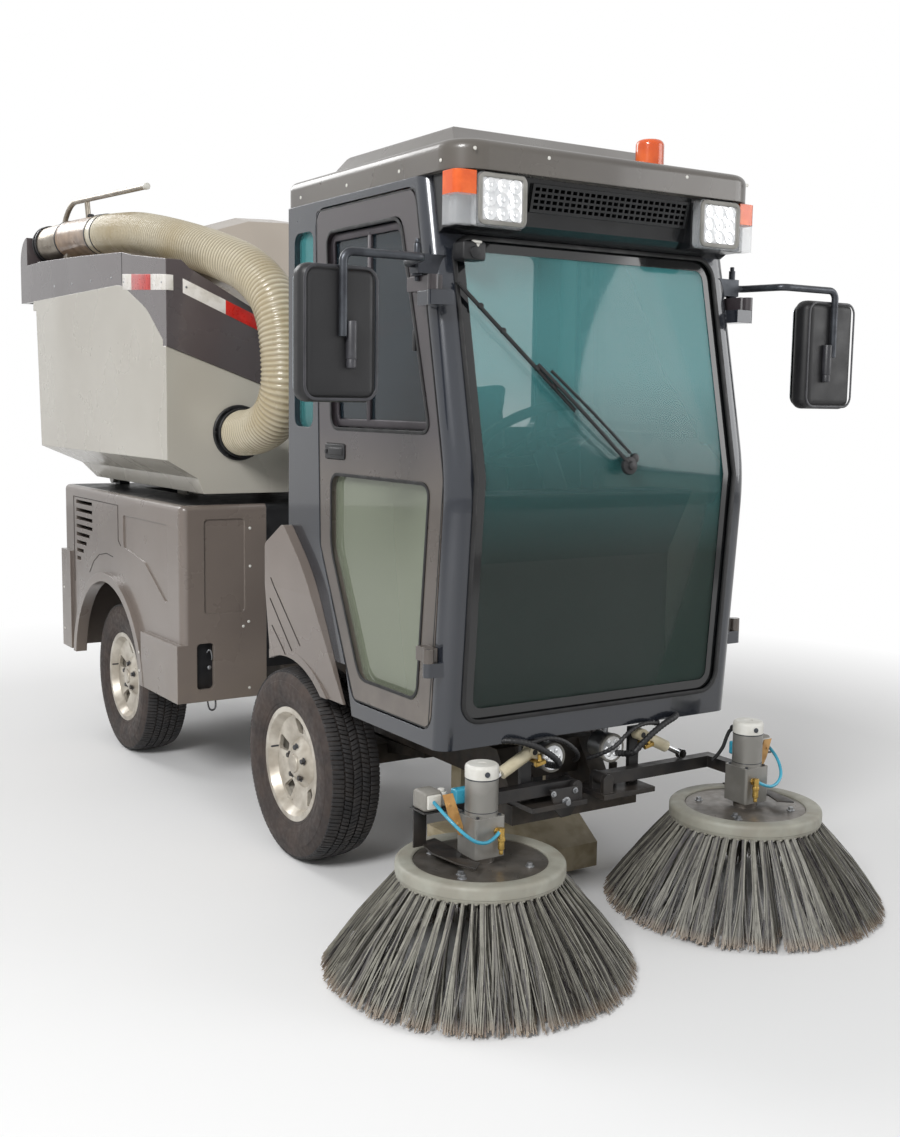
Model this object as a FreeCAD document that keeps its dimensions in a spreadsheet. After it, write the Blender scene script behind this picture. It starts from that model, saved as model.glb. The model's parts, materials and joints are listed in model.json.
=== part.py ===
import FreeCAD, Part

import math
import os

import Sketcher

# Compact street sweeper truck, in millimetres. The origin is on the ground under the middle of the
# whole machine. The front faces -Y, the machine's own left side is +X, and +Z is up.

V = FreeCAD.Vector
document = FreeCAD.newDocument("street_sweeper")

# Driving dimensions
SIZES = {
    # Running gear
    "wheelbase": 1520,
    "front_axle_y": -560,
    "tyre_diameter": 600,
    "tyre_width": 180,
    "tyre_shoulder": 30,
    "rim_diameter": 356,
    "rim_width": 150,
    "rim_wall": 8,
    "rim_windows": 5,
    "rim_window_inner": 92,
    "rim_window_outer": 138,
    "rim_window_near_half": 15,
    "rim_window_far_half": 27,
    "rim_window_corner": 8,
    "rim_bolt_circle": 50,
    "rim_bolt_radius": 7,
    "hub_face": 62,
    "hub_radius": 78,
    "hub_plate": 14,
    "wheel_centre_x": 430,
    "kingpin_x": 385,
    "kingpin_radius": 16,
    "kingpin_boss_radius": 27,
    "kingpin_eye_rise": 48,
    "axle_section": 64,
    "stub_radius": 20,
    "differential_radius": 78,
    "differential_half_width": 64,
    "running_gap": 5,
    "pin_gap": 0.3,
    # Ladder frame
    "rail_centre_x": 145,
    "rail_width": 60,
    "rail_low": 350,
    "rail_height": 100,
    "frame_front_y": -1200,
    "frame_rear_y": 1538,
    "tow_plate_thickness": 16,
    "tow_plate_half_width": 42,
    "tow_hole_radius": 15,
    "tow_hole_y": 1580,
    "cross_member": 90,
    "jack_pad_radius": 30,
    "jack_pad_drop": 8,
    "jack_pad_y": 1490,
    "beam_low": 275,
    "beam_height": 55,
    "beam_depth": 70,
    "beam_half_width": 220,
    "beam_front_y": -1345,
    "cab_mount_radius": 28,
    "cab_mount_front_y": -1080,
    "cab_mount_rear_y": -760,
    # Cab
    "cab_half_width": 500,
    "cab_wall": 42,
    "cab_low": 531,
    "cab_sill": 600,
    "cab_front_low_y": -1414,
    "cab_belly_y": -1465,
    "cab_belly_z": 1229,
    "cab_belly_round": 600,
    "cab_front_top_y": -1308,
    "cab_top": 1978,
    "cab_rear_y": -540,
    "cab_rear_low": 672,
    "cab_step_y": -905,
    "cab_step_low_y": -945,
    "pillar_depth": 46,
    "pillar_width": 62,
    "pillar_round": 40,
    "screen_top": 1830,
    "screen_thickness": 8,
    "screen_corner": 60,
    "rear_window_low": 1340,
    "rear_window_high": 1900,
    "rear_window_half_width": 400,
    "quarter_window_front_y": -700,
    "quarter_window_rear_y": -580,
    "window_corner": 30,
    "glass_thickness": 6,
    "roof_front_y": -1458,
    "roof_rear_y": -522,
    "roof_edge": 75,
    "roof_round": 26,
    "roof_front_corner": 90,
    "roof_rear_corner": 40,
    "hump_rise": 84,
    "hump_front_y": -1290,
    "hump_front_top_y": -1165,
    "hump_rear_top_y": -600,
    "hump_half_width": 400,
    "hump_top_half_width": 330,
    "fascia_low": 1835,
    "fascia_front_y": -1420,
    "fascia_inset": 23,
    "lamp_pad_inner_x": 284,
    "lamp_pad_low": 1846,
    "grille_middle_x": 10,
    "grille_half_width": 262,
    "grille_low": 1897,
    "grille_height": 68,
    "grille_border": 8,
    "grille_proud": 9,
    "grille_columns": 26,
    "grille_rows": 4,
    "grille_bar": 6,
    # Cab inside
    "dash_top": 1180,
    "dash_front_y": -1380,
    "dash_depth": 190,
    "dash_share": 0.8,
    "dash_lip": 30,
    "seat_base_top": 985,
    "seat_half_width": 235,
    "seat_front_y": -1060,
    "seat_rear_y": -640,
    "seat_corner": 30,
    "seat_lean": 18,
    "cushion_thickness": 90,
    "backrest_height": 520,
    "steering_wheel_radius": 185,
    "steering_wheel_grip": 14,
    "steering_spokes": 3,
    "steering_wheel_y": -1130,
    "steering_wheel_z": 1330,
    "steering_column_tilt": 30,
    "steering_column_length": 200,
    # Doors
    "door_gap": 5,
    "door_rear_top_y": -717,
    "door_rear_mid_y": -750,
    "door_rear_mid_z": 1000,
    "door_rear_low_y": -955,
    "door_low": 580,
    "door_top": 1952,
    "door_corner": 45,
    "door_frame": 62,
    "door_window_corner": 40,
    "door_waist_low": 1215,
    "door_waist_high": 1335,
    "door_hinge_x": 530,
    "door_hinge_y": -1400,
    "door_hinge_low_z": 764,
    "door_hinge_high_z": 1690,
    "door_handle_z": 1275,
    "door_handle_length": 120,
    "door_handle_height": 46,
    "door_handle_depth": 12,
    "hinge_pin_radius": 6,
    "hinge_barrel_radius": 14,
    "hinge_barrel_height": 36,
    "hinge_leaf_gap": 3,
    # Front fenders
    "fender_out": 30,
    "fender_low_out": 8,
    "fender_lean_z": 850,
    "fender_foot_z": 556,
    "fender_corner": 24,
    "fender_top": 1048,
    "fender_top_y": -560,
    "fender_rear_y": -432,
    "fender_front_y": -910,
    "fender_front_mid_y": -711,
    "fender_front_mid_z": 912,
    "arch_gap": 38,
    "arch_lip": 26,
    "arch_lip_out": 16,
    # Rear body
    "body_half_width": 560,
    "body_front_y": 190,
    "body_rear_y": 1538,
    "body_low": 345,
    "body_top": 1046,
    "body_wall": 26,
    "body_return": 325,
    "body_corner": 28,
    "body_edge_round": 20,
    "rear_arch_gap": 90,
    "flare_width": 34,
    "flare_out": 20,
    "ledge_z": 552,
    "ledge_out": 18,
    "ledge_rear_y": 560,
    "bumper_high": 767,
    "bumper_front_y": 1432,
    "bumper_out": 12,
    "bumper_back": 15,
    "hatch_front_y": 320,
    "hatch_rear_y": 787,
    "hatch_mid_y": 560,
    "hatch_high": 969,
    "hatch_low": 690,
    "hatch_low_y": 350,
    "hatch_mid_z": 811,
    "hatch_rear_low": 845,
    "hatch_depth": 5,
    "hatch_corner": 14,
    "front_panel_near_x": 320,
    "front_panel_far_x": 474,
    "front_panel_low": 659,
    "front_panel_high": 996,
    "slot_window_near_x": 440,
    "slot_window_far_x": 504,
    "slot_window_low": 389,
    "slot_window_high": 555,
    "deck_thickness": 30,
    "lift_well": 80,
    "louvres": 8,
    "full_louvres": 4,
    "louvre_length": 210,
    "louvre_step": 40,
    "louvre_pitch": 34,
    "louvre_height": 15,
    "louvre_top": 975,
    "louvre_rear_y": 1372,
    # Engine block
    "engine_half_width": 195,
    "engine_front_y": 270,
    "engine_length": 470,
    "engine_height": 470,
    # Hopper
    "hopper_half_width": 600,
    "hopper_wall": 30,
    "hopper_front_y": 205,
    "hopper_ledge_z": 1205,
    "hopper_belly_z": 1140,
    "hopper_belly_half_width": 490,
    "hopper_belly_rear_y": 1500,
    "hopper_bottom_z": 1085,
    "hopper_bottom_half_width": 466,
    "hopper_bottom_rear_y": 1380,
    "hopper_rear_low_y": 1717,
    "hopper_rear_top_y": 1760,
    "hopper_shoulder": 1830,
    "hopper_corner_z": 1595,
    "hopper_valley_z": 1385,
    "hopper_slope_y": 388,
    "hopper_slope_z": 1728,
    "hopper_break_y": 650,
    "hopper_slope_round": 300,
    "inlet_half_width": 102,
    "inlet_low": 1158,
    "inlet_high": 1252,
    "hose_hole_radius": 70,
    # Lid
    "lid_front_y": 200,
    "lid_wall": 24,
    "lid_edge_x": 545,
    "lid_trough_out_x": 515,
    "lid_trough_in_x": 385,
    "lid_dome_foot_x": 350,
    "lid_dome_side_x": 290,
    "lid_dome_round_x": 150,
    "lid_lip": 2,
    "lid_valley_z": 1590,
    "lid_valley_rise": 0.525,
    "lid_front_band": 1887,
    "lid_shoulder_y": 520,
    "lid_shoulder_band": 1925,
    "lid_shoulder_trough": 1882,
    "lid_shoulder_crown": 2085,
    "lid_break_y": 643,
    "lid_break_band": 1945,
    "lid_break_trough": 1895,
    "lid_middle_y": 1140,
    "lid_middle_band": 1971,
    "lid_middle_trough": 1945,
    "lid_crown": 2111,
    "lid_dome_foot_drop": 136,
    "lid_dome_side_drop": 50,
    "lid_dome_round_drop": 6,
    "hood_front_y": 1720,
    "hood_band": 1996,
    "hood_trough": 1985,
    "hood_rise_y": 1790,
    "hood_rear_y": 1985,
    "hood_round": 110,
    "hood_notch_z": 1990,
    "hood_notch_x": 400,
    "hood_notch_rear_y": 1880,
    "tip_pivot_y": 1450,
    "tip_pivot_z": 1078,
    "tip_pivot_x": 330,
    "tip_lug": 44,
    "tip_pin_radius": 15,
    "tip_boss_radius": 27,
    "rear_door_thickness": 34,
    "rear_door_pin_radius": 10,
    "rear_door_barrel_radius": 18,
    # Hopper lift
    "lift_x": 250,
    "lift_foot_y": 1100,
    "lift_foot_z": 400,
    "lift_eye_radius": 26,
    "lift_eye_width": 36,
    "lift_lug": 10,
    "lift_lug_corner": 20,
    "lift_side_gap": 1,
    "lift_pin_radius": 12,
    "lift_tail": 60,
    "lift_eye_y": 900,
    "lift_eye_z": 1015,
    "lift_barrel_radius": 32,
    "lift_rod_radius": 16,
    "lift_barrel_length": 500,
    # Suction hose on the hopper
    "hose_diameter": 160,
    "hose_wall": 6,
    "hose_x": -450,
    "hose_joint_y": 1212,
    "hose_joint_z": 2074,
    "hose_slope": 0.064,
    "hose_top_y": 930,
    "hose_drop_y": -170,
    "hose_drop_x": -335,
    "hose_bend_z": 1700,
    "hose_inlet_z": 1300,
    "pipe_diameter": 150,
    "pipe_wall": 3,
    "pipe_mid_y": 1560,
    "pipe_end_x": -500,
    "pipe_end_y": 1850,
    "pipe_end_drop": 12,
    "handle_radius": 11,
    "handle_rise": 152,
    "handle_foot_y": 1765,
    "handle_bend_y": 1684,
    "handle_post_y": 1456,
    "handle_tip_y": 775,
    "handle_tip_rise": 137,
    "saddle_y": 1600,
    "saddle_depth": 50,
    "saddle_half_width": 58,
    # Mirrors
    "mirror_x": 814,
    "mirror_y": -1428,
    "mirror_width": 200,
    "mirror_height": 314,
    "mirror_depth": 66,
    "mirror_round": 28,
    "mirror_low": 1414,
    "mirror_tube_radius": 10,
    "mirror_arm_z": 1756,
    "mirror_arm_end_z": 1564,
    "mirror_bracket_y": -1330,
    "mirror_bracket_out": 42,
    "mirror_bracket_depth": 40,
    "mirror_bracket_height": 48,
    "mirror_stand_off": 8,
    "mirror_knee_x": 566,
    "mirror_elbow": 60,
    "mirror_bend": 24,
    # Wiper
    "wiper_x": 51,
    "wiper_z": 1252,
    "wiper_boss_radius": 12,
    "wiper_proud": 30,
    "wiper_thickness": 18,
    "wiper_tip_x": -450,
    "wiper_tip_z": 1698,
    "wiper_half_width": 14,
    "wiper_seat_gap": 1.5,
    # Lamps
    "headlamp_x": 363,
    "headlamp_width": 146,
    "headlamp_low": 1847,
    "headlamp_height": 128,
    "headlamp_corner": 14,
    "lamp_depth": 28,
    "indicator_inner_x": 439,
    "indicator_outer_x": 499,
    "indicator_rear_y": -1388,
    "indicator_wrap": 19,
    "work_lamp_x": 105,
    "work_lamp_y": -1366,
    "work_lamp_depth": 60,
    "work_lamp_radius": 40,
    "work_lamp_z": 456,
    "work_lamp_stem_radius": 8,
    "beacon_x": 207,
    "beacon_y": -1330,
    "beacon_radius": 39,
    "beacon_height": 83,
    "beacon_round": 16,
    "tail_lamp_x": 500,
    "tail_lamp_half_width": 34,
    "tail_lamp_low": 830,
    "tail_lamp_high": 960,
    "tail_lamp_depth": 20,
    # Suction nozzle and duct
    "nozzle_half_width": 240,
    "nozzle_front_y": -1150,
    "nozzle_depth": 210,
    "nozzle_low": 22,
    "nozzle_height": 150,
    "nozzle_wall": 12,
    "duct_half_width": 110,
    "duct_wall": 8,
    "duct_front_y": -1040,
    "duct_foot_depth": 90,
    "duct_low": 456,
    "duct_step_high": 526,
    "duct_step_y": -900,
    "duct_high": 560,
    "duct_riser_y": -470,
    "duct_riser_depth": 110,
    "duct_top_low": 1150,
    "duct_top_high": 1260,
    "duct_end_y": 196,
    "duct_bend": 60,
    # Side brushes
    "brush_x": 458,
    "brush_y": -1543,
    "brush_ring_radius": 215,
    "brush_ring_width": 45,
    "brush_ring_thickness": 42,
    "brush_ring_top": 288,
    "brush_ring_round": 10,
    "brush_plate_drop": 6,
    "brush_radius": 400,
    "brush_inner_radius": 280,
    "brush_floor_gap": 4,
    "brush_hub_radius": 34,
    "motor_radius": 42,
    "motor_top": 529,
    "motor_round": 6,
    "gearbox_width": 88,
    "gearbox_corner": 8,
    "gearbox_low": 300,
    "gearbox_top": 402,
    "arm_pivot_x": 55,
    "arm_pivot_z": 380,
    "arm_y": -1385,
    "arm_section": 34,
    "arm_pin_radius": 8,
    "arm_side_gap": 1,
    "swing_pin_x": 150,
    "swing_pin_y": -1320,
    "swing_pin_radius": 12,
    "bracket_thickness": 14,
    "bracket_border": 25,
    "actuator_foot_x": 190,
    "actuator_foot_z": 490,
    "actuator_eye_x": 350,
    "actuator_eye_rise": 32,
    "actuator_radius": 17,
    "actuator_rod_radius": 8,
    "actuator_eye_radius": 14,
    "actuator_barrel_share": 0.62,
    "actuator_bore_share": 0.25,
    "actuator_rod_share": 0.45,
}


# The hose's sag between its top and its drop, as shares of its run, its shift and its fall
HOSE_SAG = (
    (0.378, 0.043, 0.150), (0.551, 0.217, 0.278), (0.703, 0.522, 0.420), (0.855, 0.870, 0.599),
)


class Size:
    """A length together with the sheet formula that gives it."""

    def __init__(self, value, formula):
        self.value = float(value)
        self.formula = formula

    def __float__(self):
        return self.value

    def __add__(self, other):
        return Size(self.value + float(other), f"({self.formula} + {formula_of(other)})")

    def __radd__(self, other):
        return Size(float(other) + self.value, f"({formula_of(other)} + {self.formula})")

    def __sub__(self, other):
        return Size(self.value - float(other), f"({self.formula} - {formula_of(other)})")

    def __rsub__(self, other):
        return Size(float(other) - self.value, f"({formula_of(other)} - {self.formula})")

    def __mul__(self, other):
        return Size(self.value * float(other), f"({self.formula} * {formula_of(other)})")

    def __rmul__(self, other):
        return Size(float(other) * self.value, f"({formula_of(other)} * {self.formula})")

    def __truediv__(self, other):
        return Size(self.value / float(other), f"({self.formula} / {formula_of(other)})")

    def __neg__(self):
        return Size(-self.value, f"(0 - {self.formula})")

    def __lt__(self, other):
        return self.value < float(other)

    def __gt__(self, other):
        return self.value > float(other)


def formula_of(amount):
    """The sheet formula of a size, or the digits of a plain number."""
    if isinstance(amount, Size):
        return amount.formula
    return repr(float(amount))


class Named:
    """The sheet's sizes, each one an attribute by its own name."""


def write_sheet():
    """Fill the spreadsheet and hand back its sizes by name."""
    sheet = document.addObject("Spreadsheet::Sheet", "Sizes")
    named = Named()
    for row, (name, value) in enumerate(SIZES.items(), start=1):
        sheet.set(f"A{row}", name.replace("_", " "))
        sheet.set(f"B{row}", str(value))
        sheet.setAlias(f"B{row}", name)
        setattr(named, name, Size(value, f"Sizes.{name}"))
    document.recompute()
    return named


s = write_sheet()
SIDES = {"right": -1, "left": 1}
rear_axle_y = s.front_axle_y + s.wheelbase
hub_z = s.tyre_diameter / 2
rear_door_z = s.hopper_shoulder - s.rear_door_barrel_radius - s.running_gap


# Sketching and solid helpers
def bind(thing, prop, amount):
    """Give a property its value and, where it comes from the sheet, its formula."""
    if isinstance(amount, Size):
        thing.setExpression(prop, amount.formula)


def new_body(name):
    """A sub-part: its label is the name of its file."""
    body = document.addObject("PartDesign::Body", name)
    body.Label = name
    return body


def origin_feature(body, role):
    """One of the body's own origin planes or axes."""
    return [item for item in body.Origin.OriginFeatures if item.Role == role][0]


def new_sketch(body, plane, offset):
    """An empty sketch on one of the body's origin planes, moved along its normal."""
    sketch = body.newObject("Sketcher::SketchObject", f"{body.Name}_outline")
    sketch.AttachmentSupport = [(origin_feature(body, f"{plane}_Plane"), "")]
    sketch.MapMode = "FlatFace"
    along = -offset if plane == "XZ" else offset
    sketch.AttachmentOffset = FreeCAD.Placement(V(0, 0, float(along)), FreeCAD.Rotation())
    bind(sketch, "AttachmentOffset.Base.z", along)
    return sketch


def corner_points(corners):
    """Where each corner's rounding starts, ends and has its centre."""
    places = [V(float(c[0]), float(c[1]), 0) for c in corners]
    rounded = []
    for index, corner in enumerate(corners):
        here = places[index]
        radius = float(corner[2]) if len(corner) > 2 else 0.0
        back = (places[index - 1] - here).normalize()
        ahead = (places[(index + 1) % len(places)] - here).normalize()
        if radius == 0.0:
            rounded.append((here, here, None, 0.0, True))
            continue
        half = back.getAngle(ahead) / 2
        reach = radius / math.tan(half)
        middle = (back + ahead).normalize()
        centre = here + middle * (radius / math.sin(half))
        left_turn = back.cross(ahead).z < 0
        rounded.append((here + back * reach, here + ahead * reach, centre, radius, left_turn))
    return rounded


def draw_outline(sketch, corners):
    """A closed outline of straight runs; a corner with a third value is rounded by it."""
    start = sketch.GeometryCount
    rounded = corner_points(corners)
    total = len(corners)
    geometry = [
        Part.LineSegment(rounded[i][1], rounded[(i + 1) % total][0]) for i in range(total)
    ]
    arcs = {}
    marks = {}
    for index, (enter, leave, centre, radius, left_turn) in enumerate(rounded):
        if centre is None:
            continue
        circle = Part.Circle(centre, V(0, 0, 1), radius)
        first, last = (enter, leave) if left_turn else (leave, enter)
        arcs[index] = start + len(geometry)
        geometry.append(
            Part.ArcOfCircle(circle, circle.parameter(first), circle.parameter(last))
        )
    sketch.addGeometry(geometry, False)
    for index in arcs:
        spot = Part.Point(V(float(corners[index][0]), float(corners[index][1]), 0))
        marks[index] = sketch.addGeometry(spot, True)
    rules = []
    formulas = []
    for index, corner in enumerate(corners):
        before = start + (index - 1) % total
        after = start + index
        if index in arcs:
            arc, mark = arcs[index], marks[index]
            first, last = (1, 2) if rounded[index][4] else (2, 1)
            rules.append(Sketcher.Constraint("Tangent", before, 2, arc, first))
            rules.append(Sketcher.Constraint("Tangent", arc, last, after, 1))
            rules.append(Sketcher.Constraint("PointOnObject", mark, 1, before))
            rules.append(Sketcher.Constraint("PointOnObject", mark, 1, after))
            formulas.append((len(rules), corner[2]))
            rules.append(Sketcher.Constraint("Radius", arc, float(corner[2])))
            held = mark
        else:
            rules.append(Sketcher.Constraint("Coincident", before, 2, after, 1))
            held = after
        for kind, amount in (("DistanceX", corner[0]), ("DistanceY", corner[1])):
            formulas.append((len(rules), amount))
            rules.append(Sketcher.Constraint(kind, -1, 1, held, 1, float(amount)))
    first_rule = sketch.ConstraintCount
    sketch.addConstraint(rules)
    for offset, amount in formulas:
        bind(sketch, f"Constraints[{first_rule + offset}]", amount)


def draw_circle(sketch, across, up, radius):
    """A circle placed from the sketch's own origin."""
    circle = Part.Circle(V(float(across), float(up), 0), V(0, 0, 1), float(radius))
    index = sketch.addGeometry(circle, False)
    first_rule = sketch.ConstraintCount
    sketch.addConstraint([
        Sketcher.Constraint("DistanceX", -1, 1, index, 3, float(across)),
        Sketcher.Constraint("DistanceY", -1, 1, index, 3, float(up)),
        Sketcher.Constraint("Radius", index, float(radius)),
    ])
    for offset, amount in enumerate((across, up, radius)):
        bind(sketch, f"Constraints[{first_rule + offset}]", amount)


def draw_all(sketch, outlines):
    """Outlines are lists of corners, circles are triples of place and radius."""
    for item in outlines:
        if isinstance(item, tuple):
            draw_circle(sketch, *item)
        else:
            draw_outline(sketch, item)


def pad(body, plane, low, high, *outlines):
    """Solid material between two levels along the plane's axis."""
    sketch = new_sketch(body, plane, high if plane == "XZ" else low)
    draw_all(sketch, outlines)
    feature = body.newObject("PartDesign::Pad", f"{body.Name}_pad")
    feature.Profile = sketch
    feature.Length = float(high) - float(low)
    bind(feature, "Length", high - low)
    return feature


def cut(body, plane, low, high, *outlines):
    """Material taken away between two levels along the plane's axis."""
    sketch = new_sketch(body, plane, low if plane == "XZ" else high)
    draw_all(sketch, outlines)
    feature = body.newObject("PartDesign::Pocket", f"{body.Name}_pocket")
    feature.Profile = sketch
    feature.Length = float(high) - float(low)
    bind(feature, "Length", high - low)
    return feature


def revolve(body, plane, axis, *outlines):
    """A turned form about the sketch's own horizontal or vertical axis."""
    sketch = new_sketch(body, plane, 0)
    draw_all(sketch, outlines)
    feature = body.newObject("PartDesign::Revolution", f"{body.Name}_turned")
    feature.Profile = sketch
    feature.ReferenceAxis = (sketch, [axis])
    feature.Angle = 360
    return feature


def mirror(body, *features):
    """The same features again on the other side of the machine."""
    feature = body.newObject("PartDesign::Mirrored", f"{body.Name}_mirrored")
    feature.Originals = list(features)
    feature.MirrorPlane = (origin_feature(body, "YZ_Plane"), [""])
    body.Tip = feature
    return feature


def ring_of(body, axis_role, count, *features):
    """Copies of the features round one of the body's origin axes."""
    feature = body.newObject("PartDesign::PolarPattern", f"{body.Name}_round")
    feature.Originals = list(features)
    feature.Axis = (origin_feature(body, axis_role), [""])
    feature.Angle = 360
    feature.Occurrences = count
    body.Tip = feature
    return feature


def row_of(body, axis_role, length, count, *features):
    """Copies of the features in a row along one of the body's origin axes."""
    feature = body.newObject("PartDesign::LinearPattern", f"{body.Name}_row")
    feature.Originals = list(features)
    feature.Direction = (origin_feature(body, axis_role), [""])
    feature.Length = float(length)
    bind(feature, "Length", length)
    feature.Occurrences = int(float(count))
    body.Tip = feature
    return feature


def move(body, across, along, up):
    """Set a body down at its place on the machine."""
    body.Placement.Base = V(float(across), float(along), float(up))
    for axis, amount in (("x", across), ("y", along), ("z", up)):
        bind(body, f"Placement.Base.{axis}", amount)


def block(low_u, high_u, low_v, high_v):
    """The four corners of a rectangle."""
    return [(low_u, low_v), (high_u, low_v), (high_u, high_v), (low_u, high_v)]


def span(side, near, far):
    """Two distances from the middle as a low and a high place on one side."""
    return (near, far) if side > 0 else (-far, -near)


def tube_route(points):
    """A wire along the points where every turn is one arc over half of the shorter run beside it."""
    edges = []
    last = points[0]
    for before, here, after in zip(points, points[1:], points[2:]):
        back = (before - here).normalize()
        ahead = (after - here).normalize()
        reach = min((before - here).Length, (after - here).Length) / 2
        enter = here + back * reach
        leave = here + ahead * reach
        half = back.getAngle(ahead) / 2
        middle = (back + ahead).normalize()
        centre = here + middle * (reach / math.cos(half))
        top = centre + (here - centre).normalize() * (reach * math.tan(half))
        if (enter - last).Length > float(s.pin_gap):
            edges.append(Part.LineSegment(last, enter).toShape())
            edges.append(Part.Arc(enter, top, leave).toShape())
        else:
            edges.append(Part.Arc(last, top, leave).toShape())
        last = leave
    edges.append(Part.LineSegment(last, points[-1]).toShape())
    return Part.Wire(edges)


def swept_tube(points, radius, wall=0):
    """A round tube along a bent route, hollow where a wall is given."""
    start = points[0]
    heading = points[1] - points[0]
    wire = tube_route(points)
    skin = Part.Wire([Part.Circle(start, heading, radius).toShape()])
    solid = wire.makePipeShell([skin], True, False)
    if wall:
        bore = Part.Wire([Part.Circle(start, heading, radius - wall).toShape()])
        solid = solid.cut(wire.makePipeShell([bore], True, False))
    return solid


def free_form(name, shape):
    """A sub-part whose bent or joined shape is set directly from the sheet's sizes."""
    feature = document.addObject("Part::Feature", name)
    feature.Label = name
    feature.Shape = shape
    return feature


def rounded(body, radius, wanted):
    """Round the edges that a test picks from the body's form so far."""
    document.recompute()
    shape = body.Tip.Shape
    names = [f"Edge{n}" for n, edge in enumerate(shape.Edges, start=1) if wanted(edge)]
    base = body.Tip
    feature = body.newObject("PartDesign::Fillet", f"{body.Name}_rounding")
    feature.Base = (base, names)
    feature.Radius = float(radius)
    bind(feature, "Radius", radius)
    return feature


def loft(body, kind, plane, sections):
    """A ruled form through outlines at several levels, added to the body or taken from it."""
    sketches = []
    for level, outline in sections:
        sketch = new_sketch(body, plane, level)
        draw_outline(sketch, outline)
        sketches.append(sketch)
    feature = body.newObject(f"PartDesign::{kind}Loft", f"{body.Name}_loft")
    feature.Profile = sketches[0]
    feature.Sections = sketches[1:]
    feature.Ruled = True
    return feature


def near(amount, wanted):
    """Whether a measured length is a named one, to within the narrowest gap."""
    return abs(amount - float(wanted)) < float(s.pin_gap)


def soft_block(low_u, high_u, low_v, high_v, corner):
    """A rectangle with rounded corners."""
    return [(u, v, corner) for u, v in block(low_u, high_u, low_v, high_v)]


def point(across, along, up):
    """A place in the machine's frame."""
    return V(float(across), float(along), float(up))


# Frame and axles
def ladder_frame():
    """Two box rails with cross members, and the low front beam that carries the brushes."""
    body = new_body("frame")
    outer = s.rail_centre_x + s.rail_width / 2
    inner = s.rail_centre_x - s.rail_width / 2
    rail_top = s.rail_low + s.rail_height
    bays = 4
    bay = (s.frame_rear_y - s.frame_front_y - s.cross_member) / bays
    windows = [
        block(-inner, inner, s.frame_front_y + s.cross_member + bay * n, s.frame_front_y + bay * (n + 1))
        for n in range(bays)
    ]
    pad(body, "XY", s.rail_low, rail_top, block(-outer, outer, s.frame_front_y, s.frame_rear_y), *windows)
    tow_low = s.rail_low + s.rail_height / 2 - s.tow_plate_thickness / 2
    tow_high = tow_low + s.tow_plate_thickness
    width = s.tow_plate_half_width
    pad(body, "XY", tow_low, tow_high, block(-width, width, s.frame_rear_y - s.cross_member / 2, s.tow_hole_y))
    pad(body, "XY", tow_low, tow_high, (0, s.tow_hole_y, width))
    cut(body, "XY", tow_low - width, tow_high + width, (0, s.tow_hole_y, s.tow_hole_radius))
    pad(body, "XY", s.rail_low - s.jack_pad_drop, s.rail_low, (0, s.jack_pad_y, s.jack_pad_radius))
    beam_rear_y = s.beam_front_y + s.beam_depth
    beam_top = s.beam_low + s.beam_height
    pad(body, "XY", s.beam_low, beam_top,
        block(-s.beam_half_width, s.beam_half_width, s.beam_front_y, beam_rear_y))
    for side in SIDES.values():
        low, high = span(side, inner, outer)
        drop = [
            (beam_rear_y - s.running_gap, beam_top), (beam_rear_y - s.running_gap, s.beam_low),
            (s.frame_front_y + s.cross_member, s.rail_low), (s.frame_front_y + s.cross_member, rail_top),
            (s.frame_front_y, rail_top),
        ]
        pad(body, "YZ", low, high, drop)
        rail_x = side * s.rail_centre_x
        pad(body, "XY", rail_top, s.cab_low, (rail_x, s.cab_mount_front_y, s.cab_mount_radius))
        pad(body, "XY", rail_top, s.cab_rear_low, (rail_x, s.cab_mount_rear_y, s.cab_mount_radius))
        pad(body, "XY", beam_top, s.arm_pivot_z + s.arm_section / 2,
            (side * s.swing_pin_x, s.swing_pin_y, s.swing_pin_radius))
        near, far = span(side, outer, s.lift_x + s.lift_eye_width / 2)
        pad(body, "YZ", near, far, (s.lift_foot_y, s.lift_foot_z, s.lift_pin_radius))
    return body


def spring_pack(body, side, axle_y, axle_z):
    """Leaf springs from an axle up to the underside of a rail."""
    half = s.axle_section / 2
    low, high = span(side, s.rail_centre_x - s.rail_width / 2, s.rail_centre_x + s.rail_width / 2)
    rise = s.rail_low - hub_z
    pad(body, "YZ", low, high, [
        (axle_y - half * 8, axle_z + rise), (axle_y - half * 8, axle_z + rise - half / 2),
        (axle_y - half, axle_z), (axle_y + half, axle_z),
        (axle_y + half * 8, axle_z + rise - half / 2), (axle_y + half * 8, axle_z + rise),
        (axle_y, axle_z + half + half / 4),
    ])


def front_axle():
    """A straight beam with forked kingpin eyes, hung under the rails by two spring packs."""
    body = new_body("front_axle")
    half = s.axle_section / 2
    reach = s.kingpin_x - s.kingpin_radius * 2 - s.running_gap
    eye_thickness = half
    pad(body, "YZ", -reach, reach,
        block(s.front_axle_y - half, s.front_axle_y + half, hub_z - half, hub_z + half))
    for side in SIDES.values():
        spring_pack(body, side, s.front_axle_y, hub_z)
        low, high = span(side, reach - half, reach)
        fork = s.kingpin_eye_rise + eye_thickness
        pad(body, "YZ", low, high,
            block(s.front_axle_y - half, s.front_axle_y + half, hub_z - fork, hub_z + fork))
        near_x, far_x = span(side, reach - half / 2, s.kingpin_x)
        fork_half = half - s.running_gap
        for low_z in (hub_z - fork, hub_z + s.kingpin_eye_rise):
            pad(body, "XY", low_z, low_z + eye_thickness,
                block(near_x, far_x, s.front_axle_y - fork_half, s.front_axle_y + fork_half))
            pad(body, "XY", low_z, low_z + eye_thickness,
                (side * s.kingpin_x, s.front_axle_y, s.kingpin_boss_radius))
    return body


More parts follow.
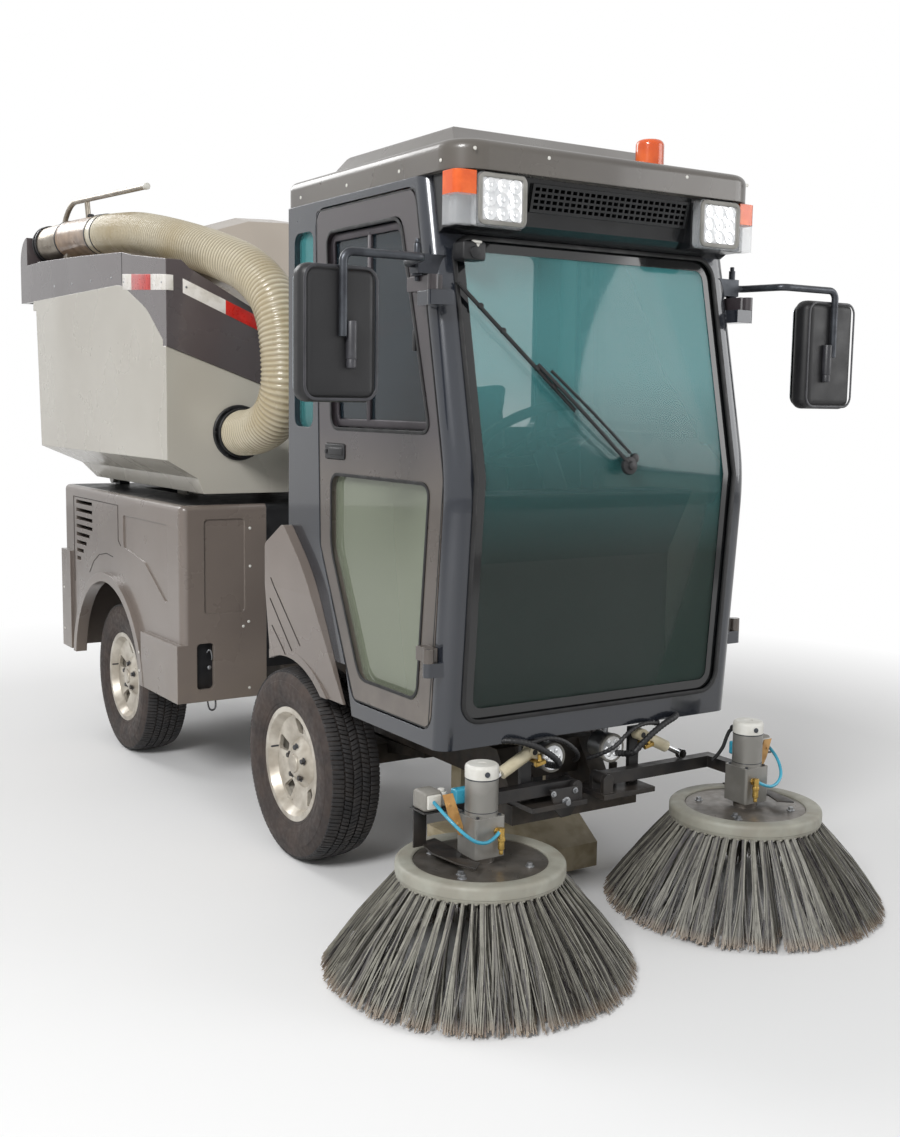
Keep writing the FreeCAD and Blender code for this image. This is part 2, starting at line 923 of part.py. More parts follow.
def knuckle(name, side):
    """The steered upright between the axle's two eyes, with the stub that carries the wheel."""
    body = new_body(name)
    rise = s.kingpin_eye_rise - s.pin_gap
    pad(body, "XY", hub_z - rise, hub_z + rise, (0, 0, s.kingpin_boss_radius - s.pin_gap))
    end = s.wheel_centre_x - s.kingpin_x + s.hub_face - s.hub_plate - s.pin_gap
    low, high = span(side, 0 * s.hub_face, end)
    pad(body, "YZ", low, high, (0, hub_z, s.stub_radius))
    move(body, side * s.kingpin_x, s.front_axle_y, 0)
    return body


def rear_axle():
    """The driven axle: a round differential case, two tubes and the spring packs."""
    body = new_body("rear_axle")
    bulge = s.differential_half_width
    case = s.differential_radius
    end = s.wheel_centre_x + s.hub_face - s.hub_plate - s.pin_gap
    tube = s.axle_section / 2
    revolve(body, "XY", "H_Axis", [
        (-end, 0), (-end, tube), (-bulge * 2, tube), (-bulge, case, tube), (bulge, case, tube),
        (bulge * 2, tube), (end, tube), (end, 0),
    ])
    for side in SIDES.values():
        spring_pack(body, side, 0 * tube, 0 * tube)
    move(body, 0, rear_axle_y, hub_z)
    return body


def place_wheel(body, side, axle_y):
    """Move a wheel's piece from the origin to its axle end."""
    move(body, side * s.wheel_centre_x, axle_y, hub_z)


def wheel_rim(name, side, axle_y):
    """A cast wheel: a dropped barrel with flanges and a dished plate with windows and bolt holes."""
    body = new_body(name)
    edge = s.rim_diameter / 2
    half = s.rim_width / 2
    drop = edge - s.rim_wall * 3
    face = s.hub_face
    profile = [
        (-half, edge - s.rim_wall * 2), (-half, edge), (-half + s.rim_wall, edge),
        (-half + s.rim_wall * 2, edge - s.rim_wall), (0, drop), (half - s.rim_wall * 2, edge - s.rim_wall),
        (half - s.rim_wall, edge), (half, edge), (half, edge - s.rim_wall * 2),
        (face - s.hub_plate, drop - s.rim_wall),
        (face - s.hub_plate * 2, s.hub_radius), (face, s.hub_radius / 2), (face, 0),
        (face - s.hub_plate, 0), (face - s.hub_plate, s.hub_radius / 2), (face - s.hub_plate * 3, s.hub_radius),
        (face - s.hub_plate * 2, drop - s.rim_wall), (0, drop - s.rim_wall),
    ]
    revolve(body, "XY", "H_Axis", [(side * point[0], point[1]) for point in profile])
    near_side, far_side = span(side, 0 * face, face + s.hub_plate)
    corner = s.rim_window_corner
    window = cut(body, "YZ", near_side, far_side, [
        (-s.rim_window_near_half, s.rim_window_inner, corner), (s.rim_window_near_half, s.rim_window_inner, corner),
        (s.rim_window_far_half, s.rim_window_outer, corner), (-s.rim_window_far_half, s.rim_window_outer, corner),
    ])
    bolt_hole = cut(body, "YZ", near_side, far_side, (0, s.rim_bolt_circle, s.rim_bolt_radius))
    ring_of(body, "X_Axis", int(float(s.rim_windows)), window, bolt_hole)
    place_wheel(body, side, axle_y)
    return body


def tyre(name, side, axle_y):
    """A road tyre with rounded shoulders, seated on the rim's flanges."""
    body = new_body(name)
    half = s.tyre_width / 2
    seat = s.rim_diameter / 2 - s.rim_wall
    bead = s.rim_width / 2 - s.rim_wall * 2
    outer = s.tyre_diameter / 2
    shoulder = s.tyre_shoulder
    revolve(body, "XY", "H_Axis", [
        (-bead, seat), (-half, (outer + seat) / 2, shoulder), (-half + shoulder / 2, outer, shoulder),
        (half - shoulder / 2, outer, shoulder), (half, (outer + seat) / 2, shoulder), (bead, seat),
    ])
    place_wheel(body, side, axle_y)
    return body


def engine_block():
    """The engine and pump as one plain block on the rails."""
    body = new_body("engine_block")
    rail_top = s.rail_low + s.rail_height
    pad(body, "XY", rail_top, rail_top + s.engine_height,
        block(-s.engine_half_width, s.engine_half_width, s.engine_front_y, s.engine_front_y + s.engine_length))
    return body


# Cab
def cab_side_profile(inset):
    """The cab seen from its side, or its hollow where an inset is given."""
    return [
        (s.cab_front_low_y + inset, s.cab_low + inset), (s.cab_belly_y + inset, s.cab_belly_z, 600),
        (s.cab_front_top_y + inset, s.cab_top - inset), (s.cab_rear_y - inset, s.cab_top - inset),
        (s.cab_rear_y - inset, s.cab_rear_low + inset), (s.cab_step_y - inset, s.cab_rear_low + inset),
        (s.cab_step_low_y - inset, s.cab_low + inset),
    ]


def upper_profile_y(up):
    """How far forward the cab's front reaches at a height above its belly."""
    slope = (s.cab_front_top_y - s.cab_belly_y) / (s.cab_top - s.cab_belly_z)
    return s.cab_belly_y + slope * (up - s.cab_belly_z)


def lower_profile_y(up):
    """How far forward the cab's front reaches at a height below its belly."""
    slope = (s.cab_belly_y - s.cab_front_low_y) / (s.cab_belly_z - s.cab_low)
    return s.cab_front_low_y + slope * (up - s.cab_low)


def door_outline(inset):
    """The door seen from the side, or its opening where the inset is negative."""
    edge = s.pillar_depth + s.door_gap
    corner = s.door_corner - inset
    return [
        (s.cab_front_low_y + edge + inset, s.door_low + inset, corner),
        (s.cab_belly_y + edge + inset, s.cab_belly_z, s.cab_belly_round),
        (s.cab_front_top_y + edge + inset, s.door_top - inset, corner),
        (s.door_rear_top_y - inset, s.door_top - inset, corner),
        (s.door_rear_mid_y - inset, s.door_rear_mid_z, corner),
        (s.door_rear_low_y - inset, s.door_low + inset, corner),
    ]


def door_panes():
    """The outlines of a door's upper and lower window."""
    frame = s.door_frame
    front = s.pillar_depth + s.door_gap + frame
    corner = s.door_window_corner
    upper = [
        (s.cab_belly_y + front, s.door_waist_high, corner),
        (s.cab_front_top_y + front, s.door_top - frame, corner),
        (s.door_rear_top_y - frame, s.door_top - frame, corner),
        (s.door_rear_mid_y - frame, s.door_waist_high, corner),
    ]
    lower = [
        (s.cab_front_low_y + front, s.door_low + frame, corner),
        (s.cab_belly_y + front, s.door_waist_low, corner),
        (s.door_rear_mid_y - frame, s.door_waist_low, corner),
        (s.door_rear_mid_y - frame, s.door_rear_mid_z, corner),
        (s.door_rear_low_y - frame / 2, s.door_low + frame, corner),
    ]
    return upper, lower


def screen_opening():
    """The windscreen's outline seen from the front."""
    half = s.cab_half_width - s.pillar_width
    return soft_block(-half, half, s.cab_sill, s.screen_top, s.screen_corner)


def rear_window():
    """The rear window's outline seen from the front."""
    half = s.rear_window_half_width
    return soft_block(-half, half, s.rear_window_low, s.rear_window_high, s.window_corner)


def quarter_window():
    """The quarter window's outline seen from the side."""
    return soft_block(s.quarter_window_front_y, s.quarter_window_rear_y, s.rear_window_low, s.rear_window_high,
                      s.window_corner)


def cab_frame():
    """The hollow cab: floor, rounded pillars, rear wall and header, open at doors and windows."""
    body = new_body("cab_frame")
    wall = s.cab_wall
    half = s.cab_half_width
    pad(body, "YZ", -half, half, cab_side_profile(0 * wall))
    rounded(body, s.pillar_round, lambda edge: near(abs(edge.CenterOfMass.x), half)
            and edge.CenterOfMass.y < float(s.cab_front_top_y))
    cut(body, "YZ", -half + wall, half - wall, cab_side_profile(wall))
    cut(body, "YZ", -half - wall, half + wall, door_outline(-s.door_gap))
    cut(body, "XZ", s.cab_belly_y - wall, s.cab_front_top_y + wall * 2, screen_opening())
    cut(body, "XZ", s.cab_rear_y - wall * 2, s.cab_rear_y + wall, rear_window())
    cut(body, "YZ", -half - wall, half + wall, quarter_window())
    for side in SIDES.values():
        for up in (s.door_hinge_low_z, s.door_hinge_high_z):
            cab_hinge(body, side, up)
    return body


def front_profile_y(up):
    """How far forward the cab's front reaches at a height."""
    return lower_profile_y(up) if up < s.cab_belly_z else upper_profile_y(up)


def cab_hinge(body, side, up):
    """The fixed half of a door hinge: a lug out from the pillar and its upright pin."""
    barrel = s.hinge_barrel_radius
    low, high = span(side, s.cab_half_width - s.cab_wall / 2, s.door_hinge_x)
    pad(body, "XY", up - s.hinge_barrel_height, up - s.pin_gap,
        block(low, high, s.door_hinge_y - barrel, s.door_hinge_y + barrel))
    pad(body, "XY", up - s.hinge_barrel_height, up - s.pin_gap,
        block(low, high, s.door_hinge_y - barrel, front_profile_y(up) + s.pillar_depth - s.door_gap))
    pad(body, "XY", up - s.hinge_barrel_height, up - s.pin_gap,
        (side * s.door_hinge_x, s.door_hinge_y, barrel))
    pad(body, "XY", up - s.hinge_barrel_height, up + s.hinge_barrel_height,
        (side * s.door_hinge_x, s.door_hinge_y, s.hinge_pin_radius))


def cab_door(name, side):
    """A framed door with two window openings, its handle pocket and the moving half of its hinges."""
    body = new_body(name)
    half = s.cab_half_width
    wall = s.cab_wall
    low, high = span(side, half - wall, half)
    pad(body, "YZ", low, high, door_outline(0 * wall))
    upper, lower = door_panes()
    cut(body, "YZ", low - wall, high + wall, upper)
    cut(body, "YZ", low - wall, high + wall, lower)
    handle_rear = s.door_rear_mid_y - s.door_frame / 2
    pocket = span(side, half - s.door_handle_depth, half + s.door_handle_depth)
    cut(body, "YZ", pocket[0], pocket[1], soft_block(
        handle_rear - s.door_handle_length, handle_rear, s.door_handle_z - s.door_handle_height / 2,
        s.door_handle_z + s.door_handle_height / 2, s.door_handle_depth))
    for up in (s.door_hinge_low_z, s.door_hinge_high_z):
        leaf = span(side, half + s.hinge_leaf_gap, s.door_hinge_x)
        foot = span(side, half - s.hinge_leaf_gap, s.door_hinge_x)
        barrel = s.hinge_barrel_radius
        edge = front_profile_y(up) + s.pillar_depth + s.door_gap * 2
        pad(body, "XY", up, up + s.hinge_barrel_height,
            block(leaf[0], leaf[1], s.door_hinge_y, edge + s.hinge_barrel_height))
        pad(body, "XY", up, up + s.hinge_barrel_height,
            block(foot[0], foot[1], edge + s.door_gap, edge + s.hinge_barrel_height))
        pad(body, "XY", up, up + s.hinge_barrel_height,
            (side * s.door_hinge_x, s.door_hinge_y, barrel))
        cut(body, "XY", up - barrel, up + s.hinge_barrel_height + barrel,
            (side * s.door_hinge_x, s.door_hinge_y, s.hinge_pin_radius + s.pin_gap))
    return body


def door_glass(name, side):
    """The two panes of a door, seated in the middle of its frame."""
    body = new_body(name)
    middle = s.cab_half_width - s.cab_wall / 2
    low, high = span(side, middle - s.glass_thickness / 2, middle + s.glass_thickness / 2)
    for pane in door_panes():
        pad(body, "YZ", low, high, pane)
    return body


def cab_glass():
    """The curved windscreen, the rear window and the two quarter windows."""
    body = new_body("cab_glass")
    spare = s.running_gap
    half = s.cab_half_width - s.pillar_width + spare
    thick = s.screen_thickness
    low = s.cab_sill - spare
    high = s.screen_top + spare
    low_y = lower_profile_y(low)
    high_y = upper_profile_y(high)
    pad(body, "YZ", -half, half, [
        (low_y + thick, low), (s.cab_belly_y + thick, s.cab_belly_z, s.cab_belly_round), (high_y + thick, high),
        (high_y + thick * 2, high), (s.cab_belly_y + thick * 2, s.cab_belly_z, s.cab_belly_round),
        (low_y + thick * 2, low),
    ])
    cut(body, "XZ", s.cab_belly_y - thick, s.cab_front_top_y + thick,
        block(-half - spare, half + spare, low - spare, high + spare), screen_opening())
    back = s.cab_rear_y - s.cab_wall / 2
    pad(body, "XZ", back - s.glass_thickness, back, rear_window())
    for side in SIDES.values():
        middle = s.cab_half_width - s.cab_wall / 2
        inner, outer = span(side, middle - s.glass_thickness / 2, middle + s.glass_thickness / 2)
        pad(body, "YZ", inner, outer, quarter_window())
    return body


def cab_roof():
    """The moulded roof slab with its overhanging visor and the sloping hump of the air conditioner."""
    body = new_body("cab_roof")
    half = s.cab_half_width
    top = s.cab_top + s.roof_edge
    front, rear = s.roof_front_corner, s.roof_rear_corner
    pad(body, "XY", s.cab_top, top, [
        (-half, s.roof_front_y, front), (half, s.roof_front_y, front), (half, s.roof_rear_y, rear),
        (-half, s.roof_rear_y, rear)])
    rounded(body, s.roof_round, lambda edge: near(edge.BoundBox.ZMin, top))
    loft(body, "Additive", "XY", [
        (top, block(-s.hump_half_width, s.hump_half_width, s.hump_front_y, s.hump_rear_top_y + s.roof_round)),
        (top + s.hump_rise, block(-s.hump_top_half_width, s.hump_top_half_width, s.hump_front_top_y,
                                  s.hump_rear_top_y))])
    crown = top + s.hump_rise
    rounded(body, s.roof_round, lambda edge: near(edge.BoundBox.ZMin, crown))
    return body


def roof_fascia():
    """The dark panel under the visor: a raised mesh grille between the two lamp pads."""
    body = new_body("roof_fascia")
    half = s.cab_half_width - s.fascia_inset
    front = s.fascia_front_y
    pad(body, "YZ", -half, half, [
        (front, s.cab_top), (front + s.lamp_depth, s.fascia_low + s.lamp_depth),
        (upper_profile_y(s.fascia_low), s.fascia_low), (s.cab_front_top_y, s.cab_top)])
    for side in SIDES.values():
        inner, outer = span(side, s.lamp_pad_inner_x, half)
        pad(body, "YZ", inner, outer, [
            (front, s.cab_top), (front, s.lamp_pad_low), (upper_profile_y(s.lamp_pad_low), s.lamp_pad_low),
            (s.cab_front_top_y, s.cab_top)])
    left = s.grille_middle_x - s.grille_half_width
    right = s.grille_middle_x + s.grille_half_width
    grille_top = s.grille_low + s.grille_height
    slope = s.lamp_depth / (s.cab_top - s.fascia_low - s.lamp_depth)
    low_y = front + slope * (s.cab_top - s.grille_low)
    high_y = front + slope * (s.cab_top - grille_top)
    pad(body, "YZ", left, right, [
        (high_y - s.grille_proud, grille_top), (low_y - s.grille_proud, s.grille_low),
        (low_y + s.grille_proud, s.grille_low), (high_y + s.grille_proud, grille_top)])
    across = (right - left - s.grille_border * 2 + s.grille_bar) / s.grille_columns
    rise = (s.grille_height - s.grille_border * 2 + s.grille_bar) / s.grille_rows
    holes = []
    for row in range(int(float(s.grille_rows))):
        start_x = left + s.grille_border
        start_z = s.grille_low + s.grille_border + rise * row
        holes.append(block(start_x, start_x + across - s.grille_bar, start_z, start_z + rise - s.grille_bar))
    column = cut(body, "XZ", front - s.grille_proud * 2, low_y + s.grille_proud, *holes)
    row_of(body, "X_Axis", across * (s.grille_columns - 1), s.grille_columns, column)
    return body


def fender_outline():
    """A front fender seen from the side, its foot closed straight under the arch."""
    lean = s.fender_corner
    return [
        (s.fender_top_y, s.fender_top, lean), (s.fender_rear_y, s.fender_top - s.fender_corner * 3, lean),
        (s.fender_rear_y, s.fender_foot_z), (s.fender_front_y, s.fender_foot_z),
        (s.fender_front_mid_y, s.fender_front_mid_z, s.cab_belly_round),
    ]


def dash():
    """The dash panel with the steering column in it."""
    body = new_body("dash")
    half = s.cab_half_width - s.cab_wall - s.running_gap
    floor = s.cab_low + s.cab_wall
    reach = half * s.dash_share
    knee = s.dash_front_y + s.dash_depth / 2
    pad(body, "YZ", -reach, reach, [
        (knee, floor), (knee, s.dash_top - s.dash_depth), (s.dash_front_y, s.dash_top),
        (s.dash_front_y + s.dash_depth, s.dash_top, s.dash_lip), (s.dash_front_y + s.dash_depth, floor)])
    sleeve_radius = s.steering_wheel_grip * 2 + s.running_gap
    sleeve = column_feature(body, "PartDesign::Pad", sleeve_radius, s.steering_column_length)
    sleeve.Reversed = True
    column_feature(body, "PartDesign::Pocket", s.steering_wheel_grip + s.pin_gap, s.steering_column_length)
    column_feature(body, "PartDesign::Pocket", s.steering_wheel_grip * 4, s.steering_wheel_grip * 4)
    return body


def column_feature(body, kind, radius, length):
    """A round pad or pocket along the tilted steering axis, from the wheel's middle down."""
    sketch = new_sketch(body, "XY", s.steering_wheel_z)
    tilt = FreeCAD.Rotation(V(1, 0, 0), -float(s.steering_column_tilt))
    place = V(0, float(s.steering_wheel_y), float(s.steering_wheel_z))
    sketch.AttachmentOffset = FreeCAD.Placement(place, tilt)
    bind(sketch, "AttachmentOffset.Base.y", s.steering_wheel_y)
    draw_circle(sketch, 0, 0, radius)
    feature = body.newObject(kind, f"{body.Name}_column")
    feature.Profile = sketch
    feature.Length = float(length)
    bind(feature, "Length", length)
    return feature


def seat_base():
    """The box under the driver's seat."""
    body = new_body("seat_base")
    floor = s.cab_rear_low + s.cab_wall
    half = s.seat_half_width - s.seat_corner
    pad(body, "XY", floor, s.seat_base_top - s.cushion_thickness,
        soft_block(-half, half, s.cab_step_y + s.cab_wall, s.seat_rear_y, s.seat_corner))
    return body


def seat_cushion():
    """The driver's seat cushion and backrest, plain forms for the soft parts."""
    body = new_body("seat_cushion")
    low = s.seat_base_top - s.cushion_thickness
    half = s.seat_half_width
    top = s.seat_base_top + s.backrest_height
    corner = s.seat_corner
    pad(body, "YZ", -half, half, [
        (s.seat_front_y, low, corner), (s.seat_front_y, s.seat_base_top, corner),
        (s.seat_rear_y - s.cushion_thickness, s.seat_base_top), (s.seat_rear_y - s.seat_lean, top, corner),
        (s.seat_rear_y + s.cushion_thickness - s.seat_lean, top, corner), (s.seat_rear_y, low)])
    return body


def steering_wheel():
    """A rim, three spokes, a hub and the column's upper end, on a tilted axis."""
    body = new_body("steering_wheel")
    grip = s.steering_wheel_grip
    radius = s.steering_wheel_radius
    hub = grip * 3
    revolve(body, "XZ", "V_Axis", [(0, -grip * 2), (hub, -grip * 2), (hub, 0, s.running_gap), (0, 0)])
    revolve(body, "XZ", "V_Axis", (radius - grip, 0, grip))
    spoke = pad(body, "XY", -grip / 2, grip / 2, block(0 * grip, radius - grip, -grip, grip))
    ring_of(body, "Z_Axis", int(float(s.steering_spokes)), spoke)
    pad(body, "XY", -grip * 9, -grip, (0, 0, grip))
    turn = FreeCAD.Rotation(V(1, 0, 0), -float(s.steering_column_tilt))
    body.Placement = FreeCAD.Placement(V(0, float(s.steering_wheel_y), float(s.steering_wheel_z)), turn)
    bind(body, "Placement.Base.y", s.steering_wheel_y)
    bind(body, "Placement.Base.z", s.steering_wheel_z)
    return body


# Outer panels
def front_fenders():
    """The two moulded fenders over the steered wheels, leaning out from the cab's sides."""
    body = new_body("front_fenders")
    side_x = s.cab_half_width
    radius = s.tyre_diameter / 2 + s.arch_gap
    out = side_x + s.fender_out
    plate = pad(body, "YZ", side_x, out, fender_outline())
    slope = (s.fender_out - s.fender_low_out) / (s.fender_lean_z - s.fender_foot_z)
    drop = s.fender_foot_z - s.fender_low_out
    lean = cut(body, "XZ", s.fender_front_y - s.fender_out, s.fender_rear_y + s.fender_out, [
        (out, s.fender_lean_z), (side_x + s.fender_low_out - slope * s.fender_low_out, drop),
        (out + s.fender_out, drop), (out + s.fender_out, s.fender_lean_z)])
    rim_out = side_x + s.arch_lip_out
    lip = pad(body, "YZ", side_x, rim_out, (s.front_axle_y, hub_z, radius + s.arch_lip))
    spare = s.tyre_diameter
    trim = cut(body, "YZ", side_x - s.arch_lip_out, rim_out + s.arch_lip_out,
               block(s.front_axle_y - spare, s.front_axle_y + spare, hub_z - spare, hub_z + spare * 2),
               fender_outline())
    arch = cut(body, "YZ", side_x - s.fender_out, out + s.fender_out, (s.front_axle_y, hub_z, radius))
    mirror(body, plate, lean, lip, trim, arch)
    return body


def body_side(name, side):
    """A lower side panel with rounded corners, flared wheel arch, louvres, hatch, ledge and bumper."""
    body = new_body(name)
    half = s.body_half_width
    wall = s.body_wall
    inner = side * (half - s.body_return)
    outer = side * half
    skin = side * (half - wall)
    pad(body, "XY", s.body_low, s.body_top, [
        (inner, s.body_front_y), (outer, s.body_front_y, s.body_corner), (outer, s.body_rear_y, s.body_corner),
        (inner, s.body_rear_y), (inner, s.body_rear_y - wall), (skin, s.body_rear_y - wall),
        (skin, s.body_front_y + wall), (inner, s.body_front_y + wall)])
    rounded(body, s.body_edge_round, lambda edge: near(edge.BoundBox.ZMin, s.body_top) and (
        near(max(abs(edge.BoundBox.XMin), abs(edge.BoundBox.XMax)), half)
        or near(edge.BoundBox.YMax, s.body_front_y) or near(edge.BoundBox.YMin, s.body_rear_y)))
    flare_radius = s.tyre_diameter / 2 + s.rear_arch_gap
    near_x, far_x = span(side, half - wall / 2, half + s.flare_out)
    pad(body, "YZ", near_x, far_x, (rear_axle_y, hub_z, flare_radius + s.flare_width))
    low, high = span(side, half - wall, half + s.flare_out)
    cut(body, "YZ", low - wall, high + wall, (rear_axle_y, hub_z, flare_radius))
    spare = s.tyre_diameter
    cut(body, "YZ", low - wall, high + wall,
        block(rear_axle_y - spare, rear_axle_y + spare, hub_z - spare, s.body_low))
    near_x, far_x = span(side, half - wall, half + s.ledge_out)
    pad(body, "YZ", near_x, far_x, block(s.body_front_y, s.ledge_rear_y, s.body_low, s.ledge_z))
    near_x, far_x = span(side, half - wall, half + s.bumper_out)
    pad(body, "YZ", near_x, far_x,
        block(s.bumper_front_y, s.body_rear_y + s.bumper_back, s.body_low, s.bumper_high))
    slots = []
    for number in range(int(float(s.louvres))):
        shorter = max(0, number + 1 - int(float(s.full_louvres)))
        start_z = s.louvre_top - s.louvre_pitch * number
        slots.append(block(s.louvre_rear_y - s.louvre_length + s.louvre_step * shorter, s.louvre_rear_y,
                           start_z, start_z + s.louvre_height))
    cut(body, "YZ", low - wall, high + wall, *slots)
    near_x, far_x = span(side, half - s.hatch_depth, half + s.hatch_depth)
    corner = s.hatch_corner
    cut(body, "YZ", near_x, far_x, [
        (s.hatch_rear_y, s.hatch_high, corner), (s.hatch_front_y, s.hatch_high, corner),
        (s.hatch_front_y, s.hatch_low, corner), (s.hatch_low_y, s.hatch_low, corner),
        (s.hatch_mid_y, s.hatch_mid_z, corner * 4), (s.hatch_rear_y, s.hatch_rear_low, corner)])
    near_x, far_x = span(side, s.front_panel_near_x, s.front_panel_far_x)
    cut(body, "XZ", s.body_front_y - s.hatch_depth, s.body_front_y + s.hatch_depth,
        soft_block(near_x, far_x, s.front_panel_low, s.front_panel_high, s.hatch_corner))
    near_x, far_x = span(side, s.slot_window_near_x, s.slot_window_far_x)
    cut(body, "XZ", s.body_front_y - wall, s.body_front_y + wall * 2,
        soft_block(near_x, far_x, s.slot_window_low, s.slot_window_high, s.hatch_corner))
    return body


def body_deck():
    """The deck under the hopper, open over the lift cylinders, with end panels and tipping lugs."""
    body = new_body("body_deck")
    half = s.body_half_width - s.body_wall
    wall = s.body_wall
    low = s.body_top - s.deck_thickness
    well = s.lift_x + s.lift_well
    pad(body, "XY", low, s.body_top, block(-half, half, s.body_front_y + wall, s.body_rear_y - wall),
        block(-well, well, s.engine_front_y + s.engine_length, s.lift_foot_y + s.lift_well))
    middle = s.body_half_width - s.body_return
    rail_top = s.rail_low + s.rail_height
    pad(body, "XZ", s.body_front_y, s.body_front_y + wall, block(-middle, middle, rail_top, s.body_top))
    pad(body, "XZ", s.body_rear_y - wall, s.body_rear_y, block(-middle, middle, rail_top, s.body_top))
    rounded(body, s.body_edge_round, lambda edge: near(edge.BoundBox.ZMin, s.body_top) and (
        near(edge.BoundBox.YMax, s.body_front_y) or near(edge.BoundBox.YMin, s.body_rear_y)))
    boss = s.tip_boss_radius
    for side in SIDES.values():
        inner, outer = span(side, s.tip_pivot_x - s.tip_lug / 2, s.tip_pivot_x + s.tip_lug / 2)
        pad(body, "YZ", inner, outer,
            block(s.tip_pivot_y - boss, s.tip_pivot_y + boss, s.body_top - wall, s.tip_pivot_z))
        pad(body, "YZ", inner, outer, (s.tip_pivot_y, s.tip_pivot_z, boss))
        cut(body, "YZ", inner - wall, outer + wall,
            (s.tip_pivot_y, s.tip_pivot_z, s.tip_pin_radius + s.pin_gap))
    return body


def belly_sections(inset):
    """The hopper's underside as three levels, the outer one or, with an inset, the hollow's."""
    front = s.hopper_front_y + inset
    levels = (
        (s.hopper_ledge_z, s.hopper_half_width, s.hopper_rear_low_y),
        (s.hopper_belly_z, s.hopper_belly_half_width, s.hopper_belly_rear_y),
        (s.hopper_bottom_z, s.hopper_bottom_half_width, s.hopper_bottom_rear_y),
    )
    return [(level + inset, block(-half + inset, half - inset, front, rear - inset))
            for level, half, rear in levels]


def belly_z(along):
    """The height of the hopper's underside behind its flat bottom."""
    slope = (s.hopper_belly_z - s.hopper_bottom_z) / (s.hopper_belly_rear_y - s.hopper_bottom_rear_y)
    return s.hopper_bottom_z + slope * (along - s.hopper_bottom_rear_y)


def valley_cutter(top):
    """What lies over the V of the hopper's front edge, seen from the front."""
    half = s.hopper_half_width
    corner = s.hopper_corner_z
    return [(-half, corner), (0 * half, s.hopper_valley_z), (half, corner), (half, top), (-half, top)]


def side_bends():
    """The two rounded corners of the hopper's upper edge seen from the side."""
    bend = s.hopper_slope_round
    return [(s.hopper_slope_y, s.hopper_slope_z, bend), (s.hopper_break_y, s.hopper_shoulder, bend)]


# Hopper
def hopper_shell():
    """The collecting hopper: a rounded-bellied tub, open at the rear, its front edge a deep V."""
    body = new_body("hopper_shell")
    half = s.hopper_half_width
    wall = s.hopper_wall
    front = s.hopper_front_y
    seat = front + wall
    top = s.hopper_shoulder
    rear = s.hopper_rear_top_y
    pad(body, "YZ", -half, half, [
        (front, s.hopper_ledge_z), (front, top), (rear, top), (s.hopper_rear_low_y, s.hopper_ledge_z)])
    loft(body, "Additive", "XY", belly_sections(0 * wall))
    loft(body, "Subtractive", "XY", belly_sections(wall))
    cut(body, "YZ", -half + wall, half - wall, [
        (seat, s.hopper_ledge_z + wall), (seat, top + wall), (rear + wall, top + wall),
        (rear + wall, s.hopper_ledge_z + wall)])
    cut(body, "XZ", front - wall, seat, valley_cutter(top + wall))
    cut(body, "YZ", -half - wall, half + wall, [
        (seat, line_z(seat)), *side_bends(), (rear, top), (rear, top + wall), (seat, top + wall)])
    cut(body, "XZ", front - wall, seat + wall,
        block(-s.inlet_half_width, s.inlet_half_width, s.inlet_low, s.inlet_high))
    cut(body, "XZ", front - wall, seat + wall, (s.hose_drop_x, s.hose_inlet_z, s.hose_hole_radius))
    for side in SIDES.values():
        hopper_lugs(body, side)
        edge, end = span(side, half - wall, half)
        door_top = rear + s.running_gap + s.rear_door_thickness / 2
        barrel = s.rear_door_barrel_radius
        pad(body, "YZ", edge, end, block(rear - wall, door_top + barrel, rear_door_z - barrel, top))
        edge, end = span(side, half - wall * 2, half - wall / 2)
        pad(body, "YZ", edge, end, (door_top, rear_door_z, s.rear_door_pin_radius))
    return body


def line_z(along):
    """The height of the hopper's sloping upper edge at a place near its front."""
    slope = (s.hopper_slope_z - s.hopper_corner_z) / (s.hopper_slope_y - s.hopper_front_y)
    return s.hopper_corner_z + slope * (along - s.hopper_front_y)


def hopper_lugs(body, side):
    """The tipping pivot's lug with its pin and the two cheeks for a lift cylinder's eye."""
    wall = s.hopper_wall
    boss = s.tip_boss_radius
    near_x = s.tip_pivot_x + s.tip_lug / 2 + s.running_gap
    inner, outer = span(side, near_x, near_x + s.tip_lug / 2)
    pad(body, "YZ", inner, outer, [
        (s.tip_pivot_y - boss, s.tip_pivot_z), (s.tip_pivot_y + boss, s.tip_pivot_z),
        (s.tip_pivot_y + boss, belly_z(s.tip_pivot_y + boss) + wall / 2),
        (s.tip_pivot_y - boss, belly_z(s.tip_pivot_y - boss) + wall / 2)])
    pad(body, "YZ", inner, outer, (s.tip_pivot_y, s.tip_pivot_z, boss))
    low, high = span(side, s.tip_pivot_x - s.tip_lug / 2 - s.running_gap, near_x)
    pad(body, "YZ", low, high, (s.tip_pivot_y, s.tip_pivot_z, s.tip_pin_radius))
    eye = s.lift_eye_radius
    beside = s.lift_eye_width / 2 + s.lift_side_gap
    root_z = s.hopper_bottom_z + wall / 2
    for near_eye in (s.lift_x - beside - s.lift_lug, s.lift_x + beside):
        inner, outer = span(side, near_eye, near_eye + s.lift_lug)
        pad(body, "YZ", inner, outer, [
            (s.lift_eye_y - eye * 2, root_z), (s.lift_eye_y - eye, s.lift_eye_z - eye, s.lift_lug_corner),
            (s.lift_eye_y + eye, s.lift_eye_z - eye, s.lift_lug_corner), (s.lift_eye_y + eye * 2, root_z)])


def lid_section(band, trough, crown):
    """The lid's heights from its edge to its middle at one place: band, trough and wide dome."""
    return [band, band + s.lid_lip, trough, trough, crown - s.lid_dome_foot_drop, crown - s.lid_dome_side_drop,
            crown - s.lid_dome_round_drop, crown]


